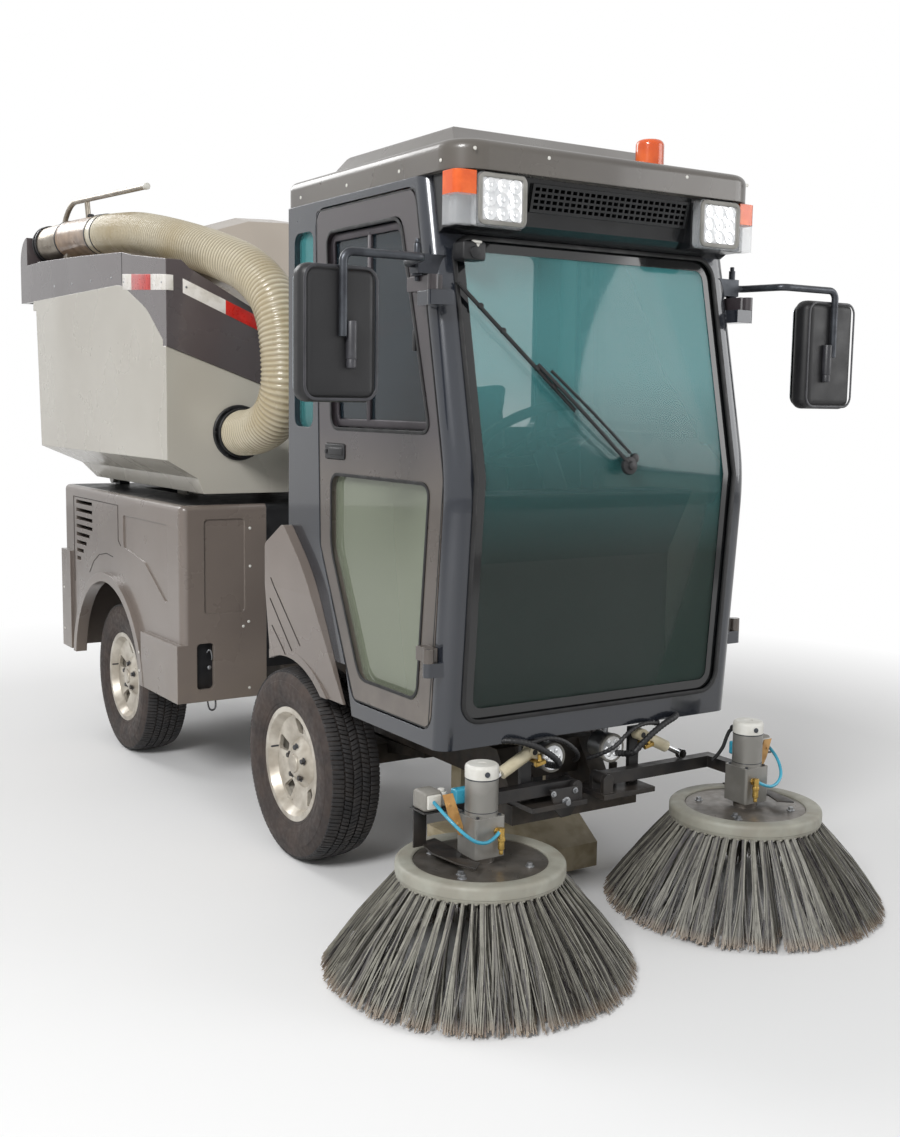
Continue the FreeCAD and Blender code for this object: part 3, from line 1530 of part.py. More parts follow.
def lid_outline(heights, inset, low):
    """The lid seen from the front, or with an inset its hollow."""
    across = [s.hopper_half_width - inset, s.lid_edge_x, s.lid_trough_out_x, s.lid_trough_in_x,
              s.lid_dome_foot_x, s.lid_dome_side_x, s.lid_dome_round_x]
    half = [(across[0], low)] + [(u, v - inset) for u, v in zip(across, heights)]
    middle = (0 * inset, heights[-1] - inset)
    return [(-u, v) for u, v in half] + [middle] + list(reversed(half))


def hopper_lid():
    """The dark upper band, the crowned top and the rear hood of the hopper."""
    body = new_body("hopper_lid")
    half = s.hopper_half_width
    wall = s.lid_wall
    seat = s.hopper_front_y + s.hopper_wall
    low = s.hopper_valley_z
    rear_line = [s.lid_valley_z + s.lid_valley_rise * across for across in (
        s.lid_trough_out_x, s.lid_trough_in_x, s.lid_dome_foot_x, s.lid_dome_side_x, s.lid_dome_round_x, 0 * half)]
    front = [s.lid_front_band, s.lid_front_band, *rear_line]
    shoulder = lid_section(s.lid_shoulder_band, s.lid_shoulder_trough, s.lid_shoulder_crown)
    later = [
        (s.lid_shoulder_y, shoulder),
        (s.lid_break_y, lid_section(s.lid_break_band, s.lid_break_trough, s.lid_crown)),
        (s.lid_middle_y, lid_section(s.lid_middle_band, s.lid_middle_trough, s.lid_crown)),
        (s.hood_rise_y, lid_section(s.hood_band, s.hood_trough, s.lid_crown)),
    ]
    loft(body, "Additive", "XZ",
         [(place, lid_outline(heights, 0 * wall, low)) for place, heights in [(s.lid_front_y, front), *later]])
    pad(body, "YZ", -half, half, [
        (s.hood_front_y, s.hopper_shoulder), (s.hood_front_y, s.hood_band), (s.hood_rise_y, s.lid_crown),
        (s.hood_rear_y, s.lid_crown, s.hood_round), (s.hood_rear_y, s.hopper_shoulder)])
    share = (seat - s.lid_front_y) / (s.lid_shoulder_y - s.lid_front_y)
    inner_front = [a + (b - a) * share for a, b in zip(front, shoulder)]
    loft(body, "Subtractive", "XZ",
         [(place, lid_outline(heights, wall, low - wall)) for place, heights in [(seat, inner_front), *later]])
    inner_rear = s.hood_rear_y - wall
    inner_front_y = s.hood_front_y + wall
    shelf = s.hood_notch_z - wall
    cut(body, "YZ", -half + wall, half - wall, block(s.hood_rise_y - wall, inner_rear, low, shelf))
    cut(body, "YZ", -s.hood_notch_x + wall, half - wall, [
        (inner_front_y, low), (inner_front_y, s.hood_band - wall), (s.hood_rise_y + wall / 2, s.lid_crown - wall),
        (inner_rear, s.lid_crown - wall, s.hood_round - wall), (inner_rear, low)])
    cut(body, "YZ", -half - wall, -s.hood_notch_x,
        block(s.hood_front_y, s.hood_notch_rear_y, s.hood_notch_z, s.lid_crown + wall))
    cut(body, "XZ", s.lid_front_y - wall, seat, [
        (-half - wall, low - wall), (half + wall, low - wall), (half + wall, valley_z(half + wall)),
        (0 * half, low), (-half - wall, valley_z(half + wall))])
    floor = low - wall * 2
    cut(body, "YZ", -half - wall, half + wall, [
        (seat, line_z(seat)), *side_bends(), (s.hood_rise_y + wall, s.hopper_shoulder),
        (s.hood_rise_y + wall, floor), (seat, floor)])
    return body


def valley_z(across):
    """The height of the hopper's front V at a distance from the middle."""
    slope = (s.hopper_corner_z - s.hopper_valley_z) / s.hopper_half_width
    return s.hopper_valley_z + slope * across


def hopper_door():
    """The rear discharge door, hinged along its upper edge."""
    body = new_body("hopper_door")
    half = s.hopper_half_width - s.hopper_wall - s.running_gap
    thick = s.rear_door_thickness
    gap = s.running_gap + s.hopper_wall
    low = s.hopper_ledge_z + gap
    near_y = s.hopper_rear_low_y + s.running_gap
    top_y = s.hopper_rear_top_y + s.running_gap
    pad(body, "YZ", -half, half, [
        (near_y, low), (top_y, rear_door_z), (top_y + thick, rear_door_z), (near_y + thick, low)])
    hinge_y = top_y + thick / 2
    pad(body, "YZ", -half, half, (hinge_y, rear_door_z, s.rear_door_barrel_radius))
    cut(body, "YZ", -half - gap, half + gap, (hinge_y, rear_door_z, s.rear_door_pin_radius + s.pin_gap))
    return body


def hose():
    """The corrugated suction hose over the hopper and down into its front inlet."""
    reach = s.hose_joint_y - s.hose_top_y
    start_z = s.hose_joint_z
    top_z = start_z - reach * s.hose_slope
    drop = s.hose_joint_y - s.hose_drop_y
    across = s.hose_drop_x - s.hose_x
    fall = start_z - s.hose_bend_z
    points = [point(s.hose_x, s.hose_joint_y, start_z), point(s.hose_x, s.hose_top_y, top_z)]
    for share_y, share_x, share_z in HOSE_SAG:
        points.append(point(s.hose_x + across * share_x, s.hose_joint_y - drop * share_y,
                            start_z - fall * share_z))
    points += [point(s.hose_drop_x, s.hose_drop_y, s.hose_bend_z),
               point(s.hose_drop_x, s.hose_drop_y, s.hose_inlet_z),
               point(s.hose_drop_x, s.hopper_front_y, s.hose_inlet_z)]
    return free_form("hose", swept_tube(points, float(s.hose_diameter) / 2, float(s.hose_wall)))


def pipe_points():
    """The hand pipe's start against the hose, its gentle bend and its end in the hood."""
    rise = (s.pipe_mid_y - s.hose_joint_y) * s.hose_slope
    mid_z = s.hose_joint_z + rise
    gap = s.pin_gap
    return [point(s.hose_x, s.hose_joint_y + gap, s.hose_joint_z + gap * s.hose_slope),
            point(s.hose_x, s.pipe_mid_y, mid_z), point(s.pipe_end_x, s.pipe_end_y, mid_z - s.pipe_end_drop)]


def trough_z(along):
    """The height of the lid's trough near the hood."""
    slope = (s.hood_trough - s.lid_middle_trough) / (s.hood_rise_y - s.lid_middle_y)
    return s.lid_middle_trough + slope * (along - s.lid_middle_y)


def hose_pipe():
    """The metal hand pipe on its saddle, with the long bent handle over the hose."""
    route = pipe_points()
    radius = float(s.pipe_diameter) / 2
    wall = float(s.pipe_wall)
    outside = swept_tube(route, radius)
    inside = swept_tube(route, radius - wall)
    mid = route[1]
    low_y = s.saddle_y
    high_y = s.saddle_y + s.saddle_depth
    left = s.hose_x - s.saddle_half_width
    corners = [point(left, low_y, trough_z(low_y)), point(left, high_y, trough_z(high_y)),
               point(left, high_y, mid.z), point(left, low_y, mid.z)]
    saddle = Part.Face(Part.makePolygon([*corners, corners[0]])).extrude(V(float(s.saddle_half_width) * 2, 0, 0))
    foot = mid + (route[2] - mid) * (float(s.handle_foot_y - s.pipe_mid_y) / float(s.pipe_end_y - s.pipe_mid_y))
    bend = point(s.hose_x + (foot.x - mid.x) / 2, s.handle_bend_y, mid.z + float(s.handle_rise))
    tip = point(s.hose_x, s.handle_tip_y, s.hose_joint_z + s.handle_tip_rise)
    handle = swept_tube([foot, bend, tip], float(s.handle_radius))
    share = float(s.handle_bend_y - s.handle_post_y) / float(s.handle_bend_y - s.handle_tip_y)
    head = bend + (tip - bend) * share
    base = point(s.hose_x, s.handle_post_y, s.hose_joint_z)
    post = Part.makeCylinder(float(s.handle_radius), (head - base).Length, base, head - base)
    shape = outside.fuse([saddle, handle, post]).cut(inside)
    return free_form("hose_pipe", max(shape.Solids, key=lambda solid: solid.Volume))


# Hopper lift
def lift_point(side, along):
    """A place on a lift cylinder's axis, measured from its foot towards its eye."""
    foot = V(side * float(s.lift_x), float(s.lift_foot_y), float(s.lift_foot_z))
    return foot + lift_direction() * along


def lift_direction():
    """From a lift cylinder's foot towards its eye."""
    return V(0, float(s.lift_eye_y - s.lift_foot_y), float(s.lift_eye_z - s.lift_foot_z)).normalize()


def cross_eye(centre, radius, width, bore):
    """A round eye across the machine, drilled for its pin."""
    start = centre - V(width / 2, 0, 0)
    ring = Part.makeCylinder(radius, width, start, V(1, 0, 0))
    if bore:
        ring = ring.cut(Part.makeCylinder(bore, width, start, V(1, 0, 0)))
    return ring


def lift_barrels():
    """The two lift cylinders' barrels, each turning on its foot pin."""
    shapes = []
    for side in SIDES.values():
        radius = float(s.lift_eye_radius)
        bore = float(s.lift_pin_radius + s.pin_gap)
        tube_start = radius - float(s.running_gap)
        tube = Part.makeCylinder(float(s.lift_barrel_radius), float(s.lift_barrel_length) - tube_start,
                                 lift_point(side, tube_start), lift_direction())
        tail = float(s.lift_tail) - 1
        hollow = Part.makeCylinder(float(s.lift_rod_radius + s.pin_gap), float(s.lift_barrel_length),
                                   lift_point(side, tail), lift_direction())
        foot = lift_point(side, 0)
        pin = cross_eye(foot, bore, float(s.lift_eye_width), 0)
        solid = tube.fuse(cross_eye(foot, radius, float(s.lift_eye_width), 0)).cut(hollow).cut(pin)
        shapes.append(solid)
    return free_form("lift_barrels", Part.Compound(shapes))


def lift_rods():
    """The two lift cylinders' rods, each ending in its eye."""
    shapes = []
    for side in SIDES.values():
        eye = V(side * float(s.lift_x), float(s.lift_eye_y), float(s.lift_eye_z))
        start = lift_point(side, float(s.lift_tail))
        rod = Part.makeCylinder(float(s.lift_rod_radius), (eye - start).Length, start, lift_direction())
        shapes.append(rod.fuse(cross_eye(eye, float(s.lift_eye_radius), float(s.lift_eye_width), 0)))
    return free_form("lift_rods", Part.Compound(shapes))


# Mirrors, wiper and lamps
def mirrors():
    """Both mirror heads on their bent tube arms and pillar brackets."""
    shapes = []
    document.recompute()
    cab = document.getObject("cab_frame").Shape
    radius = float(s.mirror_tube_radius)
    for side in SIDES.values():
        x = side * s.mirror_x
        half = s.mirror_width / 2
        depth = s.mirror_depth / 2
        head = Part.makeBox(float(half * 2), float(depth * 2), float(s.mirror_height),
                            point(x - half, s.mirror_y - depth, s.mirror_low))
        head = head.makeFillet(float(s.mirror_round), head.Edges)
        low, high = span(side, s.cab_half_width - s.pillar_round, s.cab_half_width + s.mirror_bracket_out)
        bracket = Part.makeBox(float(high - low), float(s.mirror_bracket_depth), float(s.mirror_bracket_height), point(
            low, s.mirror_bracket_y - s.mirror_bracket_depth / 2, s.mirror_arm_z - s.mirror_bracket_height / 2))
        front = s.mirror_y - depth - s.mirror_stand_off
        start = side * (s.cab_half_width + s.mirror_bracket_out / 2)
        elbow = side * (s.cab_half_width + s.mirror_bracket_out + s.mirror_elbow)
        route = [point(start, s.mirror_bracket_y, s.mirror_arm_z),
                 point(side * s.mirror_knee_x, s.mirror_bracket_y, s.mirror_arm_z),
                 point(elbow, front, s.mirror_arm_z), point(x, front, s.mirror_arm_z),
                 point(x, front, s.mirror_arm_end_z)]
        arm = bent_tube(route, radius, float(s.mirror_bend))
        shapes.append(head.fuse([arm, bracket]).cut(cab))
    return free_form("mirrors", Part.Compound(shapes))


def bent_tube(points, radius, bend):
    """A round bar along straight runs with the same bend at every turn."""
    edges = []
    last = points[0]
    for here, after in zip(points[1:-1], points[2:]):
        back = (last - here).normalize()
        ahead = (after - here).normalize()
        half = back.getAngle(ahead) / 2
        reach = bend / math.tan(half)
        enter = here + back * reach
        leave = here + ahead * reach
        middle = (back + ahead).normalize()
        centre = here + middle * (bend / math.sin(half))
        top = centre + (here - centre).normalize() * bend
        edges.append(Part.LineSegment(last, enter).toShape())
        edges.append(Part.Arc(enter, top, leave).toShape())
        last = leave
    edges.append(Part.LineSegment(last, points[-1]).toShape())
    skin = Part.Wire([Part.Circle(points[0], points[1] - points[0], radius).toShape()])
    return Part.Wire(edges).makePipeShell([skin], True, False)


def wiper():
    """The windscreen wiper: its pivot through the screen and a slim arm along the glass."""
    body = new_body("wiper")
    width = s.wiper_half_width
    thick = s.wiper_thickness
    far_y = s.cab_belly_y - s.wiper_proud
    pad(body, "XZ", far_y, s.cab_front_top_y, [
        (s.wiper_x - width, s.wiper_z - width), (s.wiper_tip_x - width, s.wiper_tip_z - width),
        (s.wiper_tip_x + width, s.wiper_tip_z + width), (s.wiper_x + width, s.wiper_z + width)])
    spare = s.cab_wall
    low = s.wiper_z - spare
    high = s.wiper_tip_z + spare
    back = s.wiper_seat_gap * 2
    cut(body, "YZ", s.wiper_tip_x - spare, s.wiper_x + spare, [
        (upper_profile_y(low) - back, low), (upper_profile_y(high) - back, high),
        (s.cab_front_top_y + spare, high), (s.cab_front_top_y + spare, low)])
    cut(body, "YZ", s.wiper_tip_x - spare, s.wiper_x + spare, [
        (upper_profile_y(low) - back - thick, low), (far_y - spare, low), (far_y - spare, high),
        (upper_profile_y(high) - back - thick, high)])
    pad(body, "XZ", far_y, s.cab_belly_y + s.screen_thickness * 2 - s.wiper_seat_gap,
        (s.wiper_x, s.wiper_z, s.wiper_boss_radius))
    return body


def lamps():
    """The head lamps with their wrapped indicators, work lamps, beacon and tail lamps."""
    body = new_body("lamps")
    seat = s.fascia_front_y - s.pin_gap
    front = s.fascia_front_y - s.lamp_depth
    high = s.headlamp_low + s.headlamp_height
    half = s.headlamp_width / 2
    head = pad(body, "XZ", front, seat,
               soft_block(s.headlamp_x - half, s.headlamp_x + half, s.headlamp_low, high, s.headlamp_corner))
    outer = s.indicator_outer_x
    wrap = outer - s.indicator_wrap
    indicator = pad(body, "XY", s.headlamp_low, high, [
        (s.indicator_inner_x, front), (outer, front, s.indicator_wrap), (outer, s.indicator_rear_y),
        (wrap, s.indicator_rear_y), (wrap, seat), (s.indicator_inner_x, seat)])
    work = pad(body, "XZ", s.work_lamp_y, s.work_lamp_y + s.work_lamp_depth,
               (s.work_lamp_x, s.work_lamp_z, s.work_lamp_radius))
    stem = pad(body, "XY", s.work_lamp_z, s.cab_low - s.pin_gap,
               (s.work_lamp_x, s.work_lamp_y + s.work_lamp_depth / 2, s.work_lamp_stem_radius))
    tail_half = s.tail_lamp_half_width
    tail = pad(body, "XZ", s.body_rear_y + s.pin_gap, s.body_rear_y + s.tail_lamp_depth, soft_block(
        s.tail_lamp_x - tail_half, s.tail_lamp_x + tail_half, s.tail_lamp_low, s.tail_lamp_high, s.headlamp_corner))
    mirror(body, head, indicator, work, stem, tail)
    roof = s.cab_top + s.roof_edge
    pad(body, "XY", roof + s.pin_gap, roof + s.beacon_height, (s.beacon_x, s.beacon_y, s.beacon_radius))
    rounded(body, s.beacon_round, lambda edge: near(edge.BoundBox.ZMin, roof + s.beacon_height))
    return body


# Suction nozzle and duct
def suction_nozzle():
    """The suction mouth between the wheels, open to the ground and up into the duct."""
    body = new_body("suction_nozzle")
    half = s.nozzle_half_width
    wall = s.nozzle_wall
    front = s.nozzle_front_y
    rear = front + s.nozzle_depth
    knee = front + s.nozzle_depth / 2
    top = s.nozzle_low + s.nozzle_height
    brow = s.nozzle_low + s.nozzle_height / 2
    pad(body, "YZ", -half, half,
        [(front, s.nozzle_low), (front, brow), (knee, top), (rear, top), (rear, s.nozzle_low)])
    cut(body, "YZ", -half + wall, half - wall, [
        (front + wall, s.nozzle_low - wall), (front + wall, brow - wall), (knee, top - wall), (rear - wall, top - wall),
        (rear - wall, s.nozzle_low - wall)])
    inner = s.duct_half_width - s.duct_wall
    cut(body, "XY", top - wall * 2, top + wall,
        block(-inner, inner, s.duct_front_y + s.duct_wall, s.duct_front_y + s.duct_foot_depth - s.duct_wall))
    for side in SIDES.values():
        near_x, far_x = span(side, s.rail_centre_x - wall, s.rail_centre_x + wall)
        pad(body, "YZ", near_x, far_x, block(rear - s.nozzle_depth / 4, rear, top - wall, s.rail_low))
    return body


def duct_profile(wall):
    """The duct seen from the side, or its hollow, from the nozzle under the floor up to the hopper."""
    foot = s.duct_front_y + s.duct_foot_depth
    riser = s.duct_riser_y + s.duct_riser_depth
    top = s.nozzle_low + s.nozzle_height
    over = wall * 2
    bend = s.duct_bend
    return [
        (s.duct_front_y + wall, top - over), (s.duct_front_y + wall, s.duct_step_high - wall, bend),
        (s.duct_step_y - wall, s.duct_step_high - wall), (s.duct_step_y - wall, s.duct_high - wall),
        (s.duct_riser_y + wall, s.duct_high - wall, bend), (s.duct_riser_y + wall, s.duct_top_high - wall, bend),
        (s.duct_end_y + over, s.duct_top_high - wall), (s.duct_end_y + over, s.duct_top_low + wall),
        (riser - wall, s.duct_top_low + wall, bend), (riser - wall, s.duct_low + wall, bend),
        (foot - wall, s.duct_low + wall, bend), (foot - wall, top - over),
    ]


def suction_duct():
    """The hollow square duct from the nozzle under the cab's floor and up to the hopper's inlet."""
    body = new_body("suction_duct")
    half = s.duct_half_width
    wall = s.duct_wall
    pad(body, "YZ", -half, half, duct_profile(0 * wall))
    cut(body, "YZ", -half + wall, half - wall, duct_profile(wall))
    return body


# Side brushes
def brush_bracket(name, side):
    """The plate that swings on the front beam, with the arm's hinge and the actuator's post."""
    body = new_body(name)
    low = s.beam_low + s.beam_height + s.pin_gap
    high = low + s.bracket_thickness
    half = s.arm_section / 2
    lug = s.bracket_thickness
    border = s.bracket_border
    beside = half + s.arm_side_gap
    inner, outer = span(side, s.arm_pivot_x - border, s.actuator_foot_x + border)
    pad(body, "XY", low, high,
        block(inner, outer, s.arm_y - half - lug * 2, s.swing_pin_y + s.swing_pin_radius * 2))
    cut(body, "XY", low - lug, high + lug, (side * s.swing_pin_x, s.swing_pin_y, s.swing_pin_radius + s.pin_gap))
    near_x, far_x = span(side, s.arm_pivot_x - half, s.arm_pivot_x + half)
    for start in (s.arm_y - beside - lug, s.arm_y + beside):
        pad(body, "XZ", start, start + lug, block(near_x, far_x, high, s.arm_pivot_z))
        pad(body, "XZ", start, start + lug, (side * s.arm_pivot_x, s.arm_pivot_z, half))
    pad(body, "XZ", s.arm_y - beside - lug, s.arm_y + beside + lug,
        (side * s.arm_pivot_x, s.arm_pivot_z, s.arm_pin_radius))
    post_low, post_high = span(side, s.actuator_foot_x - half, s.actuator_foot_x + half)
    post = s.arm_y + half + s.running_gap
    pad(body, "XZ", post, post + lug, block(post_low, post_high, high, s.actuator_foot_z + half))
    pad(body, "XZ", s.arm_y - half, post, (side * s.actuator_foot_x, s.actuator_foot_z, s.arm_pin_radius))
    return body


def brush_arm(name, side):
    """The lifting arm from its hinge near the middle out over the brush."""
    body = new_body(name)
    half = s.arm_section / 2
    inner, outer = span(side, s.arm_pivot_x, s.brush_x + half)
    pad(body, "XZ", s.arm_y - half, s.arm_y + half, block(inner, outer, s.arm_pivot_z - half, s.arm_pivot_z + half))
    pad(body, "XZ", s.arm_y - half, s.arm_y + half, (side * s.arm_pivot_x, s.arm_pivot_z, half))
    near, far = span(side, s.brush_x - half, s.brush_x + half)
    pad(body, "YZ", near, far,
        block(s.brush_y + s.gearbox_width / 2, s.arm_y + half, s.arm_pivot_z - half, s.arm_pivot_z + half))
    cut(body, "XZ", s.arm_y - half * 2, s.arm_y + half * 2,
        (side * s.arm_pivot_x, s.arm_pivot_z, s.arm_pin_radius + s.pin_gap))
    return body


def brush_motor(name, side):
    """The brush's upright motor with a rounded cap on its square gearbox."""
    body = new_body(name)
    half = s.gearbox_width / 2
    x = side * s.brush_x
    pad(body, "XY", s.gearbox_low, s.gearbox_top,
        soft_block(x - half, x + half, s.brush_y - half, s.brush_y + half, s.gearbox_corner))
    pad(body, "XY", s.gearbox_top, s.motor_top, (x, s.brush_y, s.motor_radius))
    rounded(body, s.motor_round, lambda edge: near(edge.BoundBox.ZMin, s.motor_top))
    return body


def side_brush(name, side):
    """The brush head: hub, plate, ring and the flared skirt of bristles."""
    body = new_body(name)
    ring_low = s.brush_ring_top - s.brush_ring_thickness
    ring = s.brush_ring_radius
    inner = ring - s.brush_ring_width
    corner = s.brush_ring_round
    plate = s.brush_ring_top - s.brush_plate_drop
    under = ring_low - s.brush_ring_width / 2
    revolve(body, "XZ", "V_Axis", [
        (0, ring_low), (inner, under), (s.brush_inner_radius, s.brush_floor_gap), (s.brush_radius, s.brush_floor_gap),
        (ring, ring_low), (ring, s.brush_ring_top, corner), (inner, s.brush_ring_top, s.brush_plate_drop / 2),
        (inner, plate), (s.brush_hub_radius, plate), (s.brush_hub_radius, s.gearbox_low - s.pin_gap),
        (0, s.gearbox_low - s.pin_gap)])
    move(body, side * s.brush_x, s.brush_y, 0)
    return body


def actuator_ends(side):
    """Where a brush actuator's foot pin and rod eye are."""
    foot = V(side * float(s.actuator_foot_x), float(s.arm_y), float(s.actuator_foot_z))
    eye = V(side * float(s.actuator_eye_x), float(s.arm_y), float(s.arm_pivot_z + s.actuator_eye_rise))
    return foot, eye


def long_eye(centre, radius, width):
    """A round eye along the machine."""
    return Part.makeCylinder(radius, width, centre - V(0, width / 2, 0), V(0, 1, 0))


def actuator_barrel(name, side):
    """The brush lift actuator's barrel, which turns on the bracket's pin."""
    foot, eye = actuator_ends(side)
    run = eye - foot
    width = float(s.arm_section)
    tube = Part.makeCylinder(float(s.actuator_radius), run.Length * float(s.actuator_barrel_share), foot, run)
    solid = tube.fuse(long_eye(foot, float(s.actuator_radius), width))
    rod = float(s.actuator_rod_radius + s.pin_gap)
    bore_start = foot + run * float(s.actuator_bore_share)
    solid = solid.cut(Part.makeCylinder(rod, run.Length, bore_start, run))
    solid = solid.cut(long_eye(foot, float(s.arm_pin_radius + s.pin_gap), width))
    return free_form(name, solid)


def actuator_rod(name, side):
    """The brush lift actuator's rod, ending in its eye over the arm."""
    foot, eye = actuator_ends(side)
    run = eye - foot
    start = foot + run * float(s.actuator_rod_share)
    rod = Part.makeCylinder(float(s.actuator_rod_radius), (eye - start).Length, start, run)
    head = long_eye(eye, float(s.actuator_eye_radius), float(s.arm_section) / 2)
    return free_form(name, rod.fuse(head))


# The whole machine
def build_machine():
    """Every sub-part of the sweeper, in order from the frame outwards."""
    parts = [ladder_frame(), front_axle(), rear_axle(), engine_block()]
    for place, axle_y in (("front", s.front_axle_y), ("rear", rear_axle_y)):
        for word, side in SIDES.items():
            parts.append(wheel_rim(f"rim_{place}_{word}", side, axle_y))
            parts.append(tyre(f"tyre_{place}_{word}", side, axle_y))
    parts += [cab_frame(), cab_roof(), roof_fascia(), cab_glass(), dash(), seat_base(), seat_cushion()]
    parts.append(steering_wheel())
    parts += [front_fenders(), body_deck(), hopper_shell(), hopper_lid(), hopper_door(), hose(), hose_pipe()]
    parts += [lift_barrels(), lift_rods(), mirrors(), wiper(), lamps(), suction_nozzle(), suction_duct()]
    for word, side in SIDES.items():
        parts.append(knuckle(f"knuckle_{word}", side))
        parts.append(cab_door(f"door_{word}", side))
        parts.append(door_glass(f"door_glass_{word}", side))
        parts.append(body_side(f"body_side_{word}", side))
        parts.append(brush_bracket(f"brush_bracket_{word}", side))
        parts.append(brush_arm(f"brush_arm_{word}", side))
        parts.append(brush_motor(f"brush_motor_{word}", side))
        parts.append(side_brush(f"side_brush_{word}", side))
        parts.append(actuator_barrel(f"brush_actuator_{word}", side))
        parts.append(actuator_rod(f"brush_rod_{word}", side))
    return parts


def check(parts):
    """Stop where a feature failed, a cut took nothing away or a shape isn't sound."""
    for thing in document.Objects:
        if "Invalid" in thing.State or "Error" in thing.State:
            raise RuntimeError(f"{thing.Label} failed: {thing.State}")
        if thing.TypeId == "PartDesign::Pocket" and thing.BaseFeature is not None:
            if thing.Shape.Volume >= thing.BaseFeature.Shape.Volume - 1:
                raise RuntimeError(f"{thing.Label} takes nothing away")
    for part in parts:
        if part.Shape.isNull() or not part.Shape.isValid():
            raise RuntimeError(f"{part.Label} has no sound shape")


def main():
    """Build, check and write every sub-part."""
    parts = build_machine()
    document.recompute()
    check(parts)
    os.makedirs("parts", exist_ok=True)
    for part in parts:
        part.Shape.exportStep(f"parts/{part.Label}.step")
    print(len(parts), "sub-parts")


main()
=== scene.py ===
import json
import math
import random

import bmesh
import bpy
from mathutils import Matrix, Vector
from mathutils.bvhtree import BVHTree


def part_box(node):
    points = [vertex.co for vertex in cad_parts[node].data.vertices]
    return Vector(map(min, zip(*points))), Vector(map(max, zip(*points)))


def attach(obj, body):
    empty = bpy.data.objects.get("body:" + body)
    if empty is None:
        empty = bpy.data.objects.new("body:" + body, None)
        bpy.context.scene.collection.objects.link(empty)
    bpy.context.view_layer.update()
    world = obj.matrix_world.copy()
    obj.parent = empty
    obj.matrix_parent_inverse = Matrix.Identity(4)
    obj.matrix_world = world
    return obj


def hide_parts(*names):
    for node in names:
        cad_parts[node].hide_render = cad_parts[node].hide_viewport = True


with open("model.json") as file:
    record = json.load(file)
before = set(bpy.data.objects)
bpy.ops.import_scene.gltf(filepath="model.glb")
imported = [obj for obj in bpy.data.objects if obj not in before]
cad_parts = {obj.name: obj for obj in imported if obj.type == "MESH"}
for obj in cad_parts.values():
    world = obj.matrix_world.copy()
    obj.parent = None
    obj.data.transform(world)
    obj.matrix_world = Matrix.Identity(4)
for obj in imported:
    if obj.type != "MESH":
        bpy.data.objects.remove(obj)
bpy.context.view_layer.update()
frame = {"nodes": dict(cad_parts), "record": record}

# Street sweeper truck, in metres: the front faces -Y, the machine's own left side is +X, up is +Z.
scene = bpy.context.scene
random.seed(11)
MM = 0.001
FULL_TURN = 2 * math.pi
SIDES = {"right": -1, "left": 1}
# The height in millimetres at which the windscreen and its pillars bend.
BEND = 1229
# Corners of a CAD mesh nearer than this, in millimetres, are one corner.
CAD_MERGE = 0.004
# Radii of the suction hose between two turns of its helix and on a turn, in millimetres.
HOSE_VALLEY, HOSE_CREST = 75.6, 79.9


# Materials
def colour(code):
    """An sRGB hex code as the linear colour that a shader takes."""
    parts = [int(code[i:i + 2], 16) / 255 for i in (0, 2, 4)]
    return (*[c / 12.92 if c <= 0.04045 else ((c + 0.055) / 1.055) ** 2.4 for c in parts], 1.0)


def feed(tree, node, inputs):
    """Set a node's inputs, each a plain value or the socket that feeds it."""
    for key, value in inputs.items():
        if isinstance(value, bpy.types.NodeSocket):
            tree.links.new(value, node.inputs[key])
        else:
            node.inputs[key].default_value = value


def put(tree, kind, inputs, **settings):
    """Add a node with its inputs and settings."""
    node = tree.nodes.new(kind)
    for name, value in settings.items():
        setattr(node, name, value)
    feed(tree, node, inputs)
    return node


def ranged(tree, value, start, end, low=0.0, high=1.0):
    """A value carried over from one range to another, and held at its ends."""
    return put(tree, "ShaderNodeMapRange", {
        "Value": value, "From Min": start, "From Max": end, "To Min": low, "To Max": high}).outputs["Result"]


def worked(tree, operation, first, second, clamp=False):
    """Two values made into one."""
    return put(tree, "ShaderNodeMath", {0: first, 1: second}, operation=operation, use_clamp=clamp).outputs[0]


def height_of(tree, place):
    """How high a point is, in metres."""
    return put(tree, "ShaderNodeSeparateXYZ", {0: place}).outputs["Z"]


def blank(name):
    """A material with a principled shader; hands back the material, its tree, shader and place."""
    material = bpy.data.materials.new(name)
    material.use_nodes = True
    tree = material.node_tree
    place = put(tree, "ShaderNodeTexCoord", {}).outputs["Object"]
    return material, tree, tree.nodes["Principled BSDF"], place


def blend_colours(tree, share, first, second):
    """A colour between two, each a hex code or a socket."""
    ends = [colour(end) if isinstance(end, str) else end for end in (first, second)]
    mixed = put(tree, "ShaderNodeMix", {0: share, 6: ends[0], 7: ends[1]}, data_type="RGBA")
    return mixed.outputs[2]


def spots(tree, place, size, detail=3.0, low=0.4, high=0.6):
    """Soft spots of a real size in metres, from 0 to 1."""
    grain = put(tree, "ShaderNodeTexNoise", {"Vector": place, "Scale": 1 / size, "Detail": detail})
    return ranged(tree, grain.outputs["Fac"], low, high)


